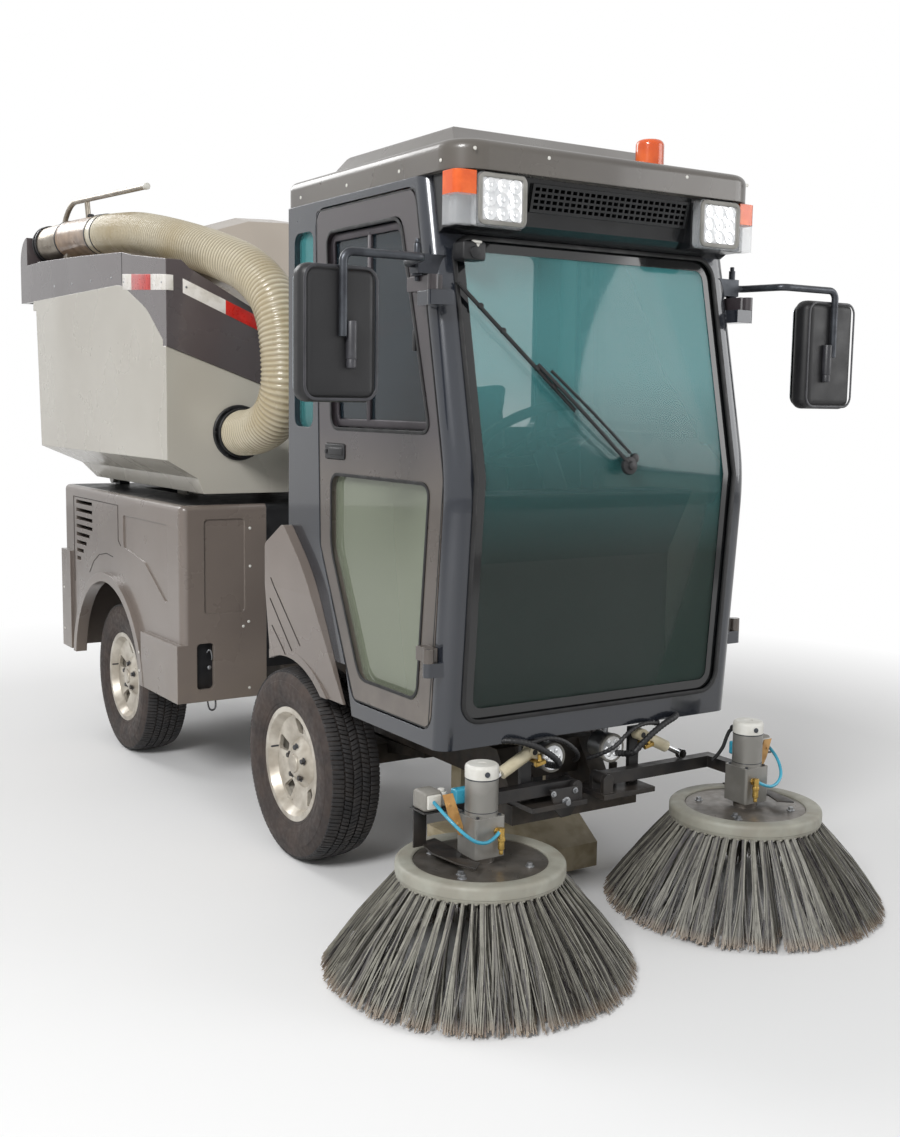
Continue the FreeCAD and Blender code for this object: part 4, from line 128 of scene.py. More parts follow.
def finish(name, shades, rough, metal=0.0, coat=0.0, patch=0.25, grain=0.002, relief=0.02, edge=0.0015,
           wear=None, dust=None, dust_top=0.0, clear=1.0):
    """A hard finish: its shade drifts in patches, its grain sets gloss and relief, its edges are rubbed.

    patch, grain and edge are real sizes in metres. dust is the colour of road dust and dust_top the
    height at which it ends; at 0 it lies all over. Edges are rounded for the light only, by the edge radius.
    """
    material, tree, shader, place = blank(name)
    shade = blend_colours(tree, spots(tree, place, patch), *shades)
    rim = put(tree, "ShaderNodeBevel", {"Radius": edge}, samples=4).outputs["Normal"]
    if wear:
        flat = put(tree, "ShaderNodeNewGeometry", {}).outputs["Normal"]
        turn = put(tree, "ShaderNodeVectorMath", {0: rim, 1: flat}, operation="DOT_PRODUCT").outputs["Value"]
        rubbed = worked(tree, "MULTIPLY", ranged(tree, turn, 0.97, 0.80, 0, 0.7), spots(tree, place, 0.02))
        shade = blend_colours(tree, rubbed, shade, wear)
    if dust:
        near_road = ranged(tree, height_of(tree, place), dust_top, 0, 0, 0.75) if dust_top else 0.4
        film = worked(tree, "MULTIPLY", near_road, spots(tree, place, 0.06, 6.0, 0.3, 0.7))
        shade = blend_colours(tree, film, shade, dust)
    fine = put(tree, "ShaderNodeTexNoise", {"Vector": place, "Scale": 1 / grain, "Detail": 2.0}).outputs["Fac"]
    gloss = ranged(tree, spots(tree, place, patch / 3, 5.0, 0.3, 0.7), 0, 1, rough * 0.8, rough * 1.25)
    bump = put(tree, "ShaderNodeBump", {
        "Height": fine, "Strength": relief * 10, "Distance": grain * 0.05, "Normal": rim}).outputs["Normal"]
    feed(tree, shader, {"Base Color": shade, "Roughness": gloss, "Normal": bump, "Metallic": metal, "Alpha": clear,
                        "Coat Weight": coat, "Coat Roughness": 0.06})
    return material


# Gel coat over glass fibre, sprayed in a mould: glossy, faintly wavy, its shade drifting with age.
gelcoat_beige = finish("gelcoat_beige", ("B9B5AB", "ADA89D"), 0.28, coat=0.4, patch=0.9, relief=0.003, edge=0.004)
gelcoat_dome = finish("gelcoat_dome", ("B3A99D", "A69B8F"), 0.32, coat=0.3, patch=0.7, relief=0.01, edge=0.004)
gelcoat_dark = finish("gelcoat_dark", ("564E4F", "4B4445"), 0.26, coat=0.5, patch=0.7, relief=0.01, edge=0.004,
                      wear="756C68")
gelcoat_grey = finish("gelcoat_grey", ("7A7069", "6C635D"), 0.3, coat=0.4, patch=0.8, relief=0.01, edge=0.004,
                      wear="938A80", dust="857A6B", dust_top=0.6)
gelcoat_roof = finish("gelcoat_roof", ("58534D", "4C4743"), 0.3, coat=0.35, patch=0.7, relief=0.012, edge=0.004)
# Two-layer car paint with a fine metal flake, sprayed and baked: deep blue grey under a clear gloss.
paint_blue_grey = finish("paint_blue_grey", ("2B2F37", "25282F"), 0.22, metal=0.2, coat=0.9, patch=0.6,
                         relief=0.004, edge=0.003, wear="596069")
# One-layer enamel, sprayed: satin, with a film of road dust at the sill; its shade, warmer than the pillars, is
# partly a painted warm reflection.
enamel_brown_grey = finish("enamel_brown_grey", ("5C544E", "504943"), 0.30, coat=0.5, patch=0.5, relief=0.008,
                           edge=0.003, wear="7C746C", dust="8A8174", dust_top=0.8)


def paint_reflection_by_height(material, code, start, end):
    """Painted reflection: the paint takes a darker shade between two heights and keeps it above, and keeps its
    lighter, warmer shade below.
    """
    tree = material.node_tree
    shader = next(n for n in tree.nodes if n.type == "BSDF_PRINCIPLED")
    place = next(n for n in tree.nodes if n.type == "TEX_COORD").outputs["Object"]
    share = ranged(tree, height_of(tree, place), start, end)
    lower_shade_and_reflection = shader.inputs["Base Color"].links[0].from_socket
    feed(tree, shader, {"Base Color": blend_colours(tree, share, lower_shade_and_reflection, code)})


# Painted reflection on the doors: darker from 1.20 m to 1.34 m and above, lighter and warmer below.
paint_reflection_by_height(enamel_brown_grey, "3A3437", 1.20, 1.34)
# Chassis paint, brushed on: almost black, flat, chipped to rust brown at its edges and dusty.
paint_chassis = finish("paint_chassis", ("2A2725", "1D1B1A"), 0.62, patch=0.15, relief=0.05, wear="6B4A34",
                       dust="6E6152", dust_top=0.7)
# Grey iron, cast in sand: coarse skin, no gloss.
iron_cast = finish("iron_cast", ("35322F", "272523"), 0.7, metal=0.3, patch=0.1, grain=0.003, relief=0.08,
                   wear="5A4A3C", dust="6E6152", dust_top=0.6)
# Black powder coat, baked: even fine orange peel.
powder_black = finish("powder_black", ("1D1D1F", "141416"), 0.42, patch=0.1, grain=0.0015, relief=0.03,
                      wear="5B5A58", dust="6E6152", dust_top=0.45)
# ABS, moulded in a spark-eroded tool: black with a fine even leather grain.
abs_black = finish("abs_black", ("1B1B1D", "131315"), 0.46, patch=0.2, grain=0.0012, relief=0.05)
abs_gloss = finish("abs_gloss", ("17181A", "101113"), 0.22, coat=0.3, patch=0.2, relief=0.01)
# Polypropylene, moulded: light grey, waxy, scuffed by the kerb.
polypropylene_grey = finish("polypropylene_grey", ("8C8A85", "797771"), 0.45, patch=0.08, relief=0.03,
                            wear="A7A49C", dust="8A8172", dust_top=0.6)
# Aluminium, die cast and left bare: pale and a little cloudy.
aluminium_cast = finish("aluminium_cast", ("9A9893", "85837E"), 0.4, metal=0.5, patch=0.12, relief=0.02,
                        wear="C4C2BD")
# Alloy wheel, painted silver cream and lacquered, brake dust in its corners.
alloy_painted = finish("alloy_painted", ("CFC9BD", "BDB6A9"), 0.34, metal=0.35, coat=0.3, patch=0.06,
                       relief=0.01, wear="E2DDD2", dust="7D6F5E", dust_top=0.75)
# Stainless tube, weathered: brushed once, now with a warm film.
steel_weathered = finish("steel_weathered", ("A79F93", "8B8276"), 0.32, metal=0.85, patch=0.08, relief=0.03)
steel_zinc = finish("steel_zinc", ("A6A8AA", "8E9093"), 0.36, metal=0.85, patch=0.04, relief=0.03)
steel_dark = finish("steel_dark", ("4A4D52", "393B40"), 0.36, metal=0.7, patch=0.06, relief=0.03, dust="6E6152",
                    dust_top=0.45)
chrome = finish("chrome", ("D9DADC", "CFD0D2"), 0.12, metal=1.0, patch=0.1, relief=0.0)
brass = finish("brass", ("B99A55", "A5874A"), 0.3, metal=0.9, patch=0.03, relief=0.02)
# Enamel on folded sheet, beige, splashed by the road.
enamel_beige = finish("enamel_beige", ("B5A98F", "A39779"), 0.45, patch=0.06, relief=0.03, wear="6B5A45",
                      dust="7D6F5E", dust_top=0.3)
enamel_cream = finish("enamel_cream", ("D8CFB4", "C9BFA2"), 0.4, patch=0.05, relief=0.02)
# Rubber extrusion round glass and doors: black, satin, faintly chalked.
rubber_seal = finish("rubber_seal", ("1A1A1B", "131314"), 0.55, patch=0.08, relief=0.02)
# Ceramic ink, printed on the glass's inner face: dead black under gloss.
glaze_black = finish("glaze_black", ("0E1012", "0A0B0C"), 0.12, coat=0.6, patch=0.3, relief=0.0)
# Aluminium, anodised dark: satin with a plum cast.
anodised_dark = finish("anodised_dark", ("4B464A", "3C383C"), 0.38, metal=0.6, patch=0.2, relief=0.015)
# Moulded black, scuffed grey where hands and branches touch it.
abs_worn = finish("abs_worn", ("3A3A3E", "2C2C30"), 0.4, patch=0.05, relief=0.03, wear="6E6E72")
mirror_silver = finish("mirror_silver", ("C9D0D4", "BFC7CC"), 0.04, metal=1.0, patch=0.5, relief=0.0)
# Vulcanised rubber, moulded: matt charcoal treads, side walls browned by road dust.
rubber = finish("rubber", ("2B2826", "1F1D1C"), 0.75, patch=0.06, grain=0.002, relief=0.05)
rubber_tread = finish("rubber_tread", ("29292B", "1E1E20"), 0.72, patch=0.05, relief=0.05, dust="4A4440")
rubber_wall = finish("rubber_wall", ("332C2A", "292423"), 0.68, patch=0.05, relief=0.04, dust="57483F")
# Polyurethane foam skin, moulded: soft black.
skin_black = finish("skin_black", ("1A1A1B", "121213"), 0.55, patch=0.1, relief=0.04)
# Vinyl cloth over foam: grained black.
vinyl_black = finish("vinyl_black", ("222224", "19191B"), 0.5, patch=0.08, grain=0.0025, relief=0.09)
# Polycarbonate, moulded clear or in a colour: bright, hard, smooth.
polycarbonate_orange = finish("polycarbonate_orange", ("E8641C", "D9540F"), 0.16, coat=0.5, patch=0.05, relief=0.0)
polycarbonate_red = finish("polycarbonate_red", ("9E1B18", "8A1512"), 0.16, coat=0.5, patch=0.05, relief=0.0)
polycarbonate_clear = finish("polycarbonate_clear", ("E6E8EA", "DADDE0"), 0.1, coat=0.5, patch=0.05, relief=0.0,
                             clear=0.3)
reflector = finish("reflector", ("F2F3F4", "E4E6E8"), 0.16, metal=0.6, patch=0.02, relief=0.0)
# Retroreflective sheeting on aluminium strip: bright, satin, finely cellular.
tape_white = finish("tape_white", ("E4E0DA", "D6D1C8"), 0.3, coat=0.4, patch=0.04, grain=0.004, relief=0.02)
tape_red = finish("tape_red", ("C4261E", "AD1F1A"), 0.3, coat=0.4, patch=0.04, grain=0.004, relief=0.02)
# Enamel over bent sheet, ochre; polyurethane water pipe, cyan; the shadow in a pressed line.
enamel_ochre = finish("enamel_ochre", ("C99B5C", "B5854A"), 0.45, patch=0.03, relief=0.02, wear="6B4A2C")
polyurethane_cyan = finish("polyurethane_cyan", ("3FA3BF", "3593AE"), 0.3, coat=0.3, patch=0.05, relief=0.0)
shadow_gap = finish("shadow_gap", ("3A3431", "2F2A28"), 0.8, patch=0.1, relief=0.0)


def glass_by_height(name, upper, lower, start, end, cover):
    """Body-tinted glass, drawn and toughened: clear face on, mirror-like at a slant, its colour changing with height.

    On the windscreen the dark lower colour is a painted reflection; on the doors the upper pane is darker than the
    lower. cover is how much each colour hides, the lower one first.
    """
    material, tree, shader, place = blank(name)
    share = ranged(tree, height_of(tree, place), start, end)
    slant = put(tree, "ShaderNodeLayerWeight", {"Blend": 0.3}).outputs["Fresnel"]
    feed(tree, shader, {
        "Base Color": blend_colours(tree, share, lower, upper), "Coat Weight": 0.6,
        "Alpha": ranged(tree, slant, 0, 1, ranged(tree, share, 0, 1, *cover), 0.96),
        "Roughness": ranged(tree, spots(tree, place, 0.3, 5.0), 0, 1, 0.02, 0.07)})
    return material


# Painted reflection: the windscreen runs from bright teal above 1.5 m to dark green below 1.0 m.
glass_teal = glass_by_height("glass_teal", "58A9AC", "3A4F48", 1.0, 1.5, (0.16, 0.36))
glass_door = glass_by_height("glass_door", "26323A", "8E9582", 1.25, 1.30, (0.62, 0.5))
# Polyvinyl chloride, extruded round a steel helix: cream and slightly cloudy.
vinyl_stained = finish("vinyl_stained", ("A68D75", "7E6855"), 0.34, coat=0.3, patch=0.09, relief=0.02)


def make_hose_vinyl():
    """Soft clear vinyl between the turns of its helix: pale on the crests, amber and duller in the valleys."""
    material, tree, shader, place = blank("vinyl_hose")
    crest = put(tree, "ShaderNodeAttribute", {}, attribute_name="crest").outputs["Fac"]
    shade = blend_colours(tree, crest, "8C8068", "D9D0B8")
    shade = blend_colours(tree, spots(tree, place, 0.25, 4.0, 0.42, 0.75), shade, "A59470")
    gloss = ranged(tree, spots(tree, place, 0.08), 0, 1, 0.24, 0.42)
    feed(tree, shader, {"Base Color": shade, "Roughness": gloss, "Coat Weight": 0.3})
    return material


vinyl_hose = make_hose_vinyl()
# Polypropylene, moulded pale grey: matt and a little chalky.
polypropylene_pale = finish("polypropylene_pale", ("A3A398", "949388"), 0.5, patch=0.08, relief=0.02, edge=0.002,
                            dust="8A8172")
polypropylene_white = finish("polypropylene_white", ("DAD9D3", "CECCC4"), 0.42, patch=0.05, relief=0.01)
# Steel sheet, cut and left bare: dark, scratched, gloss in patches.
steel_plate = finish("steel_plate", ("7C7873", "625F5B"), 0.34, metal=0.6, patch=0.07, relief=0.05, wear="8E8A85",
                     dust="6E6152")
# Nylon filament: grey brown.
nylon_dark = finish("nylon_dark", ("3A352F", "2C2825"), 0.6, patch=0.02, relief=0.0)


def make_bristle_finish():
    """Extruded nylon: each strand has a shade of its own, from plum black to pale grey, and a worn tan tip; the plum
    black strands are partly real black filament and partly painted shade between the tufts.
    """
    material, tree, shader, place = blank("nylon_bristle")
    strand = put(tree, "ShaderNodeAttribute", {}, attribute_name="strand").outputs["Fac"]
    # Plum black strands: partly real black filament, partly painted shade in the gaps between tufts.
    shade = blend_colours(tree, ranged(tree, strand, 0.12, 0.75), "2B262B", "929085")
    shade = blend_colours(tree, spots(tree, place, 0.02, 4.0, 0.45, 0.75), shade, "67645C")
    worn = ranged(tree, height_of(tree, place), 0.04, 0.008, 0, 0.6)
    feed(tree, shader, {"Base Color": blend_colours(tree, worn, shade, "A08A76"), "Roughness": 0.5})
    return material


nylon_bristle = make_bristle_finish()

SLOT_FINISHES = {
    "frame": paint_chassis, "axle": iron_cast, "engine": iron_cast, "rim": alloy_painted, "tyre": rubber,
    "cab_paint": paint_blue_grey, "door_paint": enamel_brown_grey, "roof": gelcoat_roof, "fascia": abs_gloss,
    "glass": glass_teal, "dash": abs_black, "seat_base": powder_black, "seat": vinyl_black,
    "steering_wheel": skin_black, "panel": gelcoat_grey, "deck": powder_black, "hopper": gelcoat_beige,
    "lid": gelcoat_dark, "hose": vinyl_hose, "pipe": steel_weathered, "cylinder": powder_black, "rod": chrome,
    "mirror": abs_black, "wiper": powder_black, "lamp": polycarbonate_clear, "nozzle": enamel_beige,
    "duct": abs_black, "bracket": powder_black, "motor": aluminium_cast, "brush": nylon_dark,
    "actuator": enamel_cream,
}


def dress_nodes():
    """Give every node the finish of its slot, and the doors' panes their own tint."""
    for row in frame["record"]["subparts"]:
        mesh = frame["nodes"][row["node"]].data
        mesh.materials.clear()
        own = glass_door if row["node"].startswith("door_glass") else SLOT_FINISHES[row["material_slot"]]
        mesh.materials.append(own)


# Camera, light and floor
def set_camera():
    """The photograph's eye: 42 mm on the long side, turned 33 degrees, tipped 7 degrees down."""
    turn, tip, roll = math.radians(32.82), math.radians(7.06), math.radians(0.83)
    ahead = Vector((math.sin(turn) * math.cos(tip), math.cos(turn) * math.cos(tip), -math.sin(tip)))
    right = Vector((math.cos(turn), -math.sin(turn), 0))
    up = right.cross(ahead)
    across = right * math.cos(roll) + up * math.sin(roll)
    upward = up * math.cos(roll) - right * math.sin(roll)
    lens = bpy.data.cameras.new("camera")
    lens.lens = 42.43
    eye = bpy.data.objects.new("camera", lens)
    scene.collection.objects.link(eye)
    eye.matrix_world = Matrix((across, upward, -ahead)).transposed().to_4x4()
    eye.location = (-2.287, -4.219, 1.417)
    scene.camera = eye


def area_light(name, place, target, size, watts):
    """A soft round lamp that looks at a point."""
    lamp = bpy.data.lights.new(name, "AREA")
    lamp.shape = "DISK"
    lamp.size = size
    lamp.energy = watts
    holder = bpy.data.objects.new(name, lamp)
    scene.collection.objects.link(holder)
    holder.location = place
    holder.rotation_euler = (Vector(target) - Vector(place)).to_track_quat("-Z", "Y").to_euler()


def light_studio():
    """A pale room: a key from the front right, a fill from the left, and a lamp behind for the roof's edge."""
    area_light("key", (-5.5, -4.5, 5.5), (0, -0.3, 0.9), 2.6, 420)
    area_light("fill", (5.5, -5.0, 3.0), (0, -0.3, 1.0), 4.0, 110)
    area_light("rim", (-2.0, 6.0, 5.0), (0, 0.5, 1.0), 3.5, 160)
    world = bpy.data.worlds.new("room")
    scene.world = world
    world.use_nodes = True
    tree = world.node_tree
    rays = put(tree, "ShaderNodeLightPath", {}).outputs
    seen = worked(tree, "ADD", rays["Is Camera Ray"], rays["Is Transmission Ray"])
    share = worked(tree, "ADD", seen, worked(tree, "MULTIPLY", rays["Is Glossy Ray"], 0.75), clamp=True)
    feed(tree, tree.nodes["Background"], {"Color": (1, 1, 1, 1), "Strength": ranged(tree, share, 0, 1, 0.4, 1.0)})


def make_floor():
    """A plain pale floor that keeps the machine's shadow and ends in the white of the room."""
    mesh = bmesh.new()
    bmesh.ops.create_circle(mesh, cap_ends=True, segments=96, radius=14)
    floor = stood_up(mesh, "floor")
    material, tree, shader, place = blank("floor_paper")
    feed(tree, shader, {"Base Color": colour("F4F4F4"), "Roughness": 0.9})
    rays = put(tree, "ShaderNodeLightPath", {}).outputs
    far = put(tree, "ShaderNodeVectorMath", {0: place}, operation="LENGTH").outputs["Value"]
    share = worked(tree, "MULTIPLY", ranged(tree, far, 2.4, 4.2), rays["Is Camera Ray"])
    glow = put(tree, "ShaderNodeEmission", {"Strength": 1.0})
    mixed = put(tree, "ShaderNodeMixShader", {0: share, 1: shader.outputs[0], 2: glow.outputs[0]})
    feed(tree, tree.nodes["Material Output"], {"Surface": mixed.outputs[0]})
    floor.data.materials.append(material)


# Making shapes: sizes and places are in millimetres
def points_of(made):
    """The points among what an operator made."""
    return [v for v in made if isinstance(v, bmesh.types.BMVert)]


def whole(mesh):
    """All that a mesh holds, for an operator."""
    return [*mesh.verts, *mesh.edges, *mesh.faces]


def sided(side, points):
    """Points that are given for the left side, on either side of the machine."""
    return [(side * x, *rest) for x, *rest in points]


def raised(mesh, faces, way):
    """Faces raised along a vector; hands back their new points."""
    top = points_of(bmesh.ops.extrude_face_region(mesh, geom=faces)["geom"])
    bmesh.ops.translate(mesh, verts=top, vec=way)
    return top


def rounded(mesh, parts, size, steps=2, affect="EDGES"):
    """Edges or corners rounded by a size."""
    return bmesh.ops.bevel(mesh, geom=parts, offset=size * MM, affect=affect, segments=steps, profile=0.5,
                           material=-1)


def mesh_of(node):
    """A CAD node's own shape with its facets joined."""
    mesh = bmesh.new()
    mesh.from_mesh(frame["nodes"][node].data)
    bmesh.ops.remove_doubles(mesh, verts=mesh.verts, dist=CAD_MERGE * MM)
    return mesh


def smoothed(mesh, sharp):
    """Smooth faces that meet in a crease where they turn by more than an angle in degrees."""
    for face in mesh.faces:
        face.smooth = True
    for line in mesh.edges:
        line.smooth = len(line.link_faces) != 2 or line.calc_face_angle() < math.radians(sharp)


def stood_up(mesh, name, *finishes):
    """A finished mesh as an object in the scene."""
    data = bpy.data.meshes.new(name)
    mesh.to_mesh(data)
    mesh.free()
    for coat in finishes:
        data.materials.append(coat)
    made = bpy.data.objects.new(name, data)
    scene.collection.objects.link(made)
    return made


def facing(point, axis=(0, 0, 1), turn=0.0):
    """A place at a point whose own Z looks along an axis, turned about it by an angle in degrees."""
    look = Vector((0, 0, 1)).rotation_difference(Vector(axis)).to_matrix().to_4x4()
    return Matrix.Translation(Vector(point) * MM) @ look @ Matrix.Rotation(math.radians(turn), 4, "Z")


def block(mesh, low, high, edge=0.0, steps=2, place=None):
    """A box between two corners with rounded edges; hands back its points."""
    size = [b - a for a, b in zip(low, high)]
    middle = [(a + b) / 2 for a, b in zip(low, high)]
    fit = Matrix.Translation(Vector(middle) * MM) @ Matrix.Diagonal((*[s * MM for s in size], 1))
    made = bmesh.ops.create_cube(mesh, size=1, matrix=(place or Matrix()) @ fit)["verts"]
    if edge:
        edges = list({e for v in made for e in v.link_edges})
        made = rounded(mesh, edges, edge, steps)["verts"]
    return made


def side_block(mesh, side, near, far, edge=0.0, steps=2):
    """A block between two corners that are given for the left side of the machine."""
    low, high = sorted((side * near[0], side * far[0]))
    block(mesh, (low, *near[1:]), (high, *far[1:]), edge, steps)


def turned(mesh, outline, place, steps=48):
    """A turned shape: an outline of (radius, height) pairs, spun about the place's own Z."""
    points = [mesh.verts.new(place @ Vector((r * MM, 0, h * MM))) for r, h in outline]
    edges = [mesh.edges.new(pair) for pair in zip(points, points[1:])]
    bmesh.ops.spin(mesh, geom=points + edges, cent=place.translation, axis=place.to_3x3() @ Vector((0, 0, 1)),
                   angle=FULL_TURN, steps=steps, use_merge=True, use_duplicate=False)


def ring(mesh, outer, inner, low, high, place, edge=1.0, steps=48):
    """A turned ring with broken corners."""
    turned(mesh, ((inner, low), (outer - edge, low), (outer, low + edge), (outer, high - edge),
                  (outer - edge, high), (inner, high), (inner, low)), place, steps)


def plug(mesh, radius, low, high, place, edge=1.0, steps=32):
    """A turned solid disc or pin with rounded rims."""
    turned(mesh, ((0, low), (radius - edge, low), (radius, low + edge), (radius, high - edge),
                  (radius - 0.3 * edge, high - 0.3 * edge), (radius - edge, high), (0, high)), place, steps)


def bolt(mesh, point, axis, across=10.0, height=5.0):
    """A hexagon head on its washer."""
    place = facing(point, axis)
    plug(mesh, across * 0.85, 0, 1.5, place, 0.4, 16)
    bmesh.ops.create_cone(mesh, cap_ends=True, segments=6, radius1=across * 0.577 * MM, radius2=across * 0.52 * MM,
                          depth=height * MM, matrix=place @ Matrix.Translation((0, 0, (1.5 + height / 2) * MM)))


def rivet(mesh, point, axis, radius=4.0, height=1.6):
    """A domed head."""
    turned(mesh, ((radius, 0), (radius * 0.9, height * 0.55), (radius * 0.5, height * 0.92), (0, height)),
           facing(point, axis), 12)


def plate(mesh, outline, thickness, place, edge=0.0):
    """A flat plate: an outline of (x, y) pairs in the place's own plane, raised along its Z."""
    points = [mesh.verts.new(place @ Vector((x * MM, y * MM, 0))) for x, y in outline]
    top = raised(mesh, [mesh.faces.new(points)], place.to_3x3() @ Vector((0, 0, thickness * MM)))
    if edge:
        rims = list({e for v in top for e in v.link_edges if e.other_vert(v) in top})
        rounded(mesh, rims, edge)


def curved(points, step):
    """Points every step along the smooth line that a few corners give."""
    curve = bpy.data.curves.new("line", "CURVE")
    curve.dimensions = "3D"
    spline = curve.splines.new("NURBS")
    spline.points.add(len(points) - 1)
    for knot, point in zip(spline.points, points):
        knot.co = (*(Vector(point) * MM), 1)
    spline.order_u = 3
    spline.use_endpoint_u = True
    spline.resolution_u = 32
    holder = bpy.data.objects.new("line", curve)
    data = bpy.data.meshes.new_from_object(holder)
    dense = [v.co.copy() for v in data.vertices]
    bpy.data.objects.remove(holder)
    bpy.data.meshes.remove(data)
    bpy.data.curves.remove(curve)
    reach = [0.0]
    for a, b in zip(dense, dense[1:]):
        reach.append(reach[-1] + (b - a).length)
    count = max(2, round(reach[-1] / (step * MM)))
    path, at = [], 0
    for k in range(count + 1):
        distance = reach[-1] * k / count
        while at < len(dense) - 2 and reach[at + 1] < distance:
            at += 1
        share = (distance - reach[at]) / (reach[at + 1] - reach[at])
        path.append(dense[at].lerp(dense[at + 1], share))
    return path


def sleeve(mesh, path, radius, sides=24, wide=1.0, solid=True):
    """A tube wrapped round a path; radius is a size, or a function of the point's number along the path."""
    frames, across = [], None
    for i, point in enumerate(path):
        ahead = (path[min(i + 1, len(path) - 1)] - path[max(i - 1, 0)]).normalized()
        across = across or ahead.orthogonal().normalized()
        across = (across - ahead * across.dot(ahead)).normalized()
        frames.append((point, across, ahead.cross(across)))
    crest = mesh.verts.layers.float.get("crest")
    sheet = bmesh.ops.create_grid(mesh, x_segments=len(path) - 1, y_segments=sides, size=0.5)["verts"]
    for v in sheet:
        number = round((v.co.x + 0.5) * (len(path) - 1))
        angle = (v.co.y + 0.5) * FULL_TURN
        point, side, rise = frames[number]
        reach = (radius(number) if callable(radius) else radius) * MM
        v.co = point + side * math.cos(angle) * reach * wide + rise * math.sin(angle) * reach
        if crest:
            v[crest] = (reach / MM - HOSE_VALLEY) / (HOSE_CREST - HOSE_VALLEY)
    bmesh.ops.remove_doubles(mesh, verts=sheet, dist=0.01 * MM)
    if solid:
        loose = [e for e in mesh.edges if e.is_boundary and e.is_valid]
        bmesh.ops.holes_fill(mesh, edges=loose, sides=sides)


def keep(mesh, name, material, body, sharp=35.0, edge=0.0, stands_for=()):
    """A bmesh becomes a piece: points merged, faces outward, smooth but for its sharp edges, riding on a body."""
    bmesh.ops.remove_doubles(mesh, verts=mesh.verts, dist=0.02 * MM)
    bmesh.ops.recalc_face_normals(mesh, faces=mesh.faces)
    smoothed(mesh, sharp)
    piece = stood_up(mesh, name, material)
    if edge:
        rounding = piece.modifiers.new("rounding", "BEVEL")
        rounding.width = edge * MM
        rounding.segments = 2
        rounding.limit_method = "ANGLE"
        rounding.harden_normals = True
    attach(piece, body)
    if stands_for:
        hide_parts(*stands_for)
    return piece


def middle(node):
    """The middle of a node's box, in millimetres."""
    low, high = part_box(node)
    return (Vector(low) + Vector(high)) / 2 / MM


# Side brushes
# A brush is tufted over a quarter of its ring, which is then spun to the other three.
QUARTERS = 4
# Height of the strands' roots above the road, in millimetres.
BRISTLE_ROOT = 250
# Tufts in the outer ring, and that ring's radius in millimetres.
OUTER_TUFTS, OUTER_RING = 56, 205


def make_bristles(word):
    """Tufts of three-sided nylon filament in three rings, pressed outwards by the road."""
    centre = middle(f"side_brush_{word}")
    mesh = bmesh.new()
    number = mesh.verts.layers.float.new("strand")
    for tufts, strands, root, tip in ((OUTER_TUFTS, 22, OUTER_RING, 391), (48, 14, 191, 345),
                                      (40, 8, 178, 300)):
        for tuft in range(tufts // QUARTERS):
            angle = FULL_TURN * tuft / tufts
            lean = random.uniform(-0.035, 0.035)
            for _ in range(strands):
                turn, out = random.uniform(0, FULL_TURN), random.uniform(0, 6.0)
                start = (root + out * math.sin(turn), angle + out * math.cos(turn) / root, BRISTLE_ROOT)
                spread = random.gauss(0, 0.036)
                end = (tip + random.uniform(-14, 7), angle + lean + spread, random.uniform(4.5, 20))
                bulge = random.uniform(2, 12)
                shade = random.random()
                shape = bmesh.ops.create_circle(mesh, segments=3, radius=random.uniform(1.5, 2.2) * MM)["verts"]
                rims = list({e for v in shape for e in v.link_edges})
                here = Vector((0, 0, 0))
                for step in range(5):
                    share = step / 4
                    reach = start[0] + (end[0] - start[0]) * share + bulge * math.sin(math.pi * share)
                    way = start[1] + (end[1] - start[1]) * share ** 1.4
                    spot = Vector((reach * math.cos(way), reach * math.sin(way),
                                   start[2] + (end[2] - start[2]) * share)) * MM
                    if step:
                        grown = bmesh.ops.extrude_edge_only(mesh, edges=rims)["geom"]
                        shape = points_of(grown)
                        rims = [e for e in grown if isinstance(e, bmesh.types.BMEdge)]
                    bmesh.ops.translate(mesh, verts=shape, vec=spot - here)
                    here = spot
                    for v in shape:
                        v[number] = shade
                bmesh.ops.contextual_create(mesh, geom=rims)
    bmesh.ops.spin(mesh, geom=whole(mesh), cent=(0, 0, 0), axis=(0, 0, 1), angle=1.5 * math.pi,
                   steps=QUARTERS - 1, use_duplicate=True)
    bmesh.ops.translate(mesh, verts=mesh.verts, vec=Vector((centre.x, centre.y, 0)) * MM)
    keep(mesh, f"brush_bristles_{word}", nylon_bristle, f"side_brush_{word}",
         stands_for=[f"side_brush_{word}"])


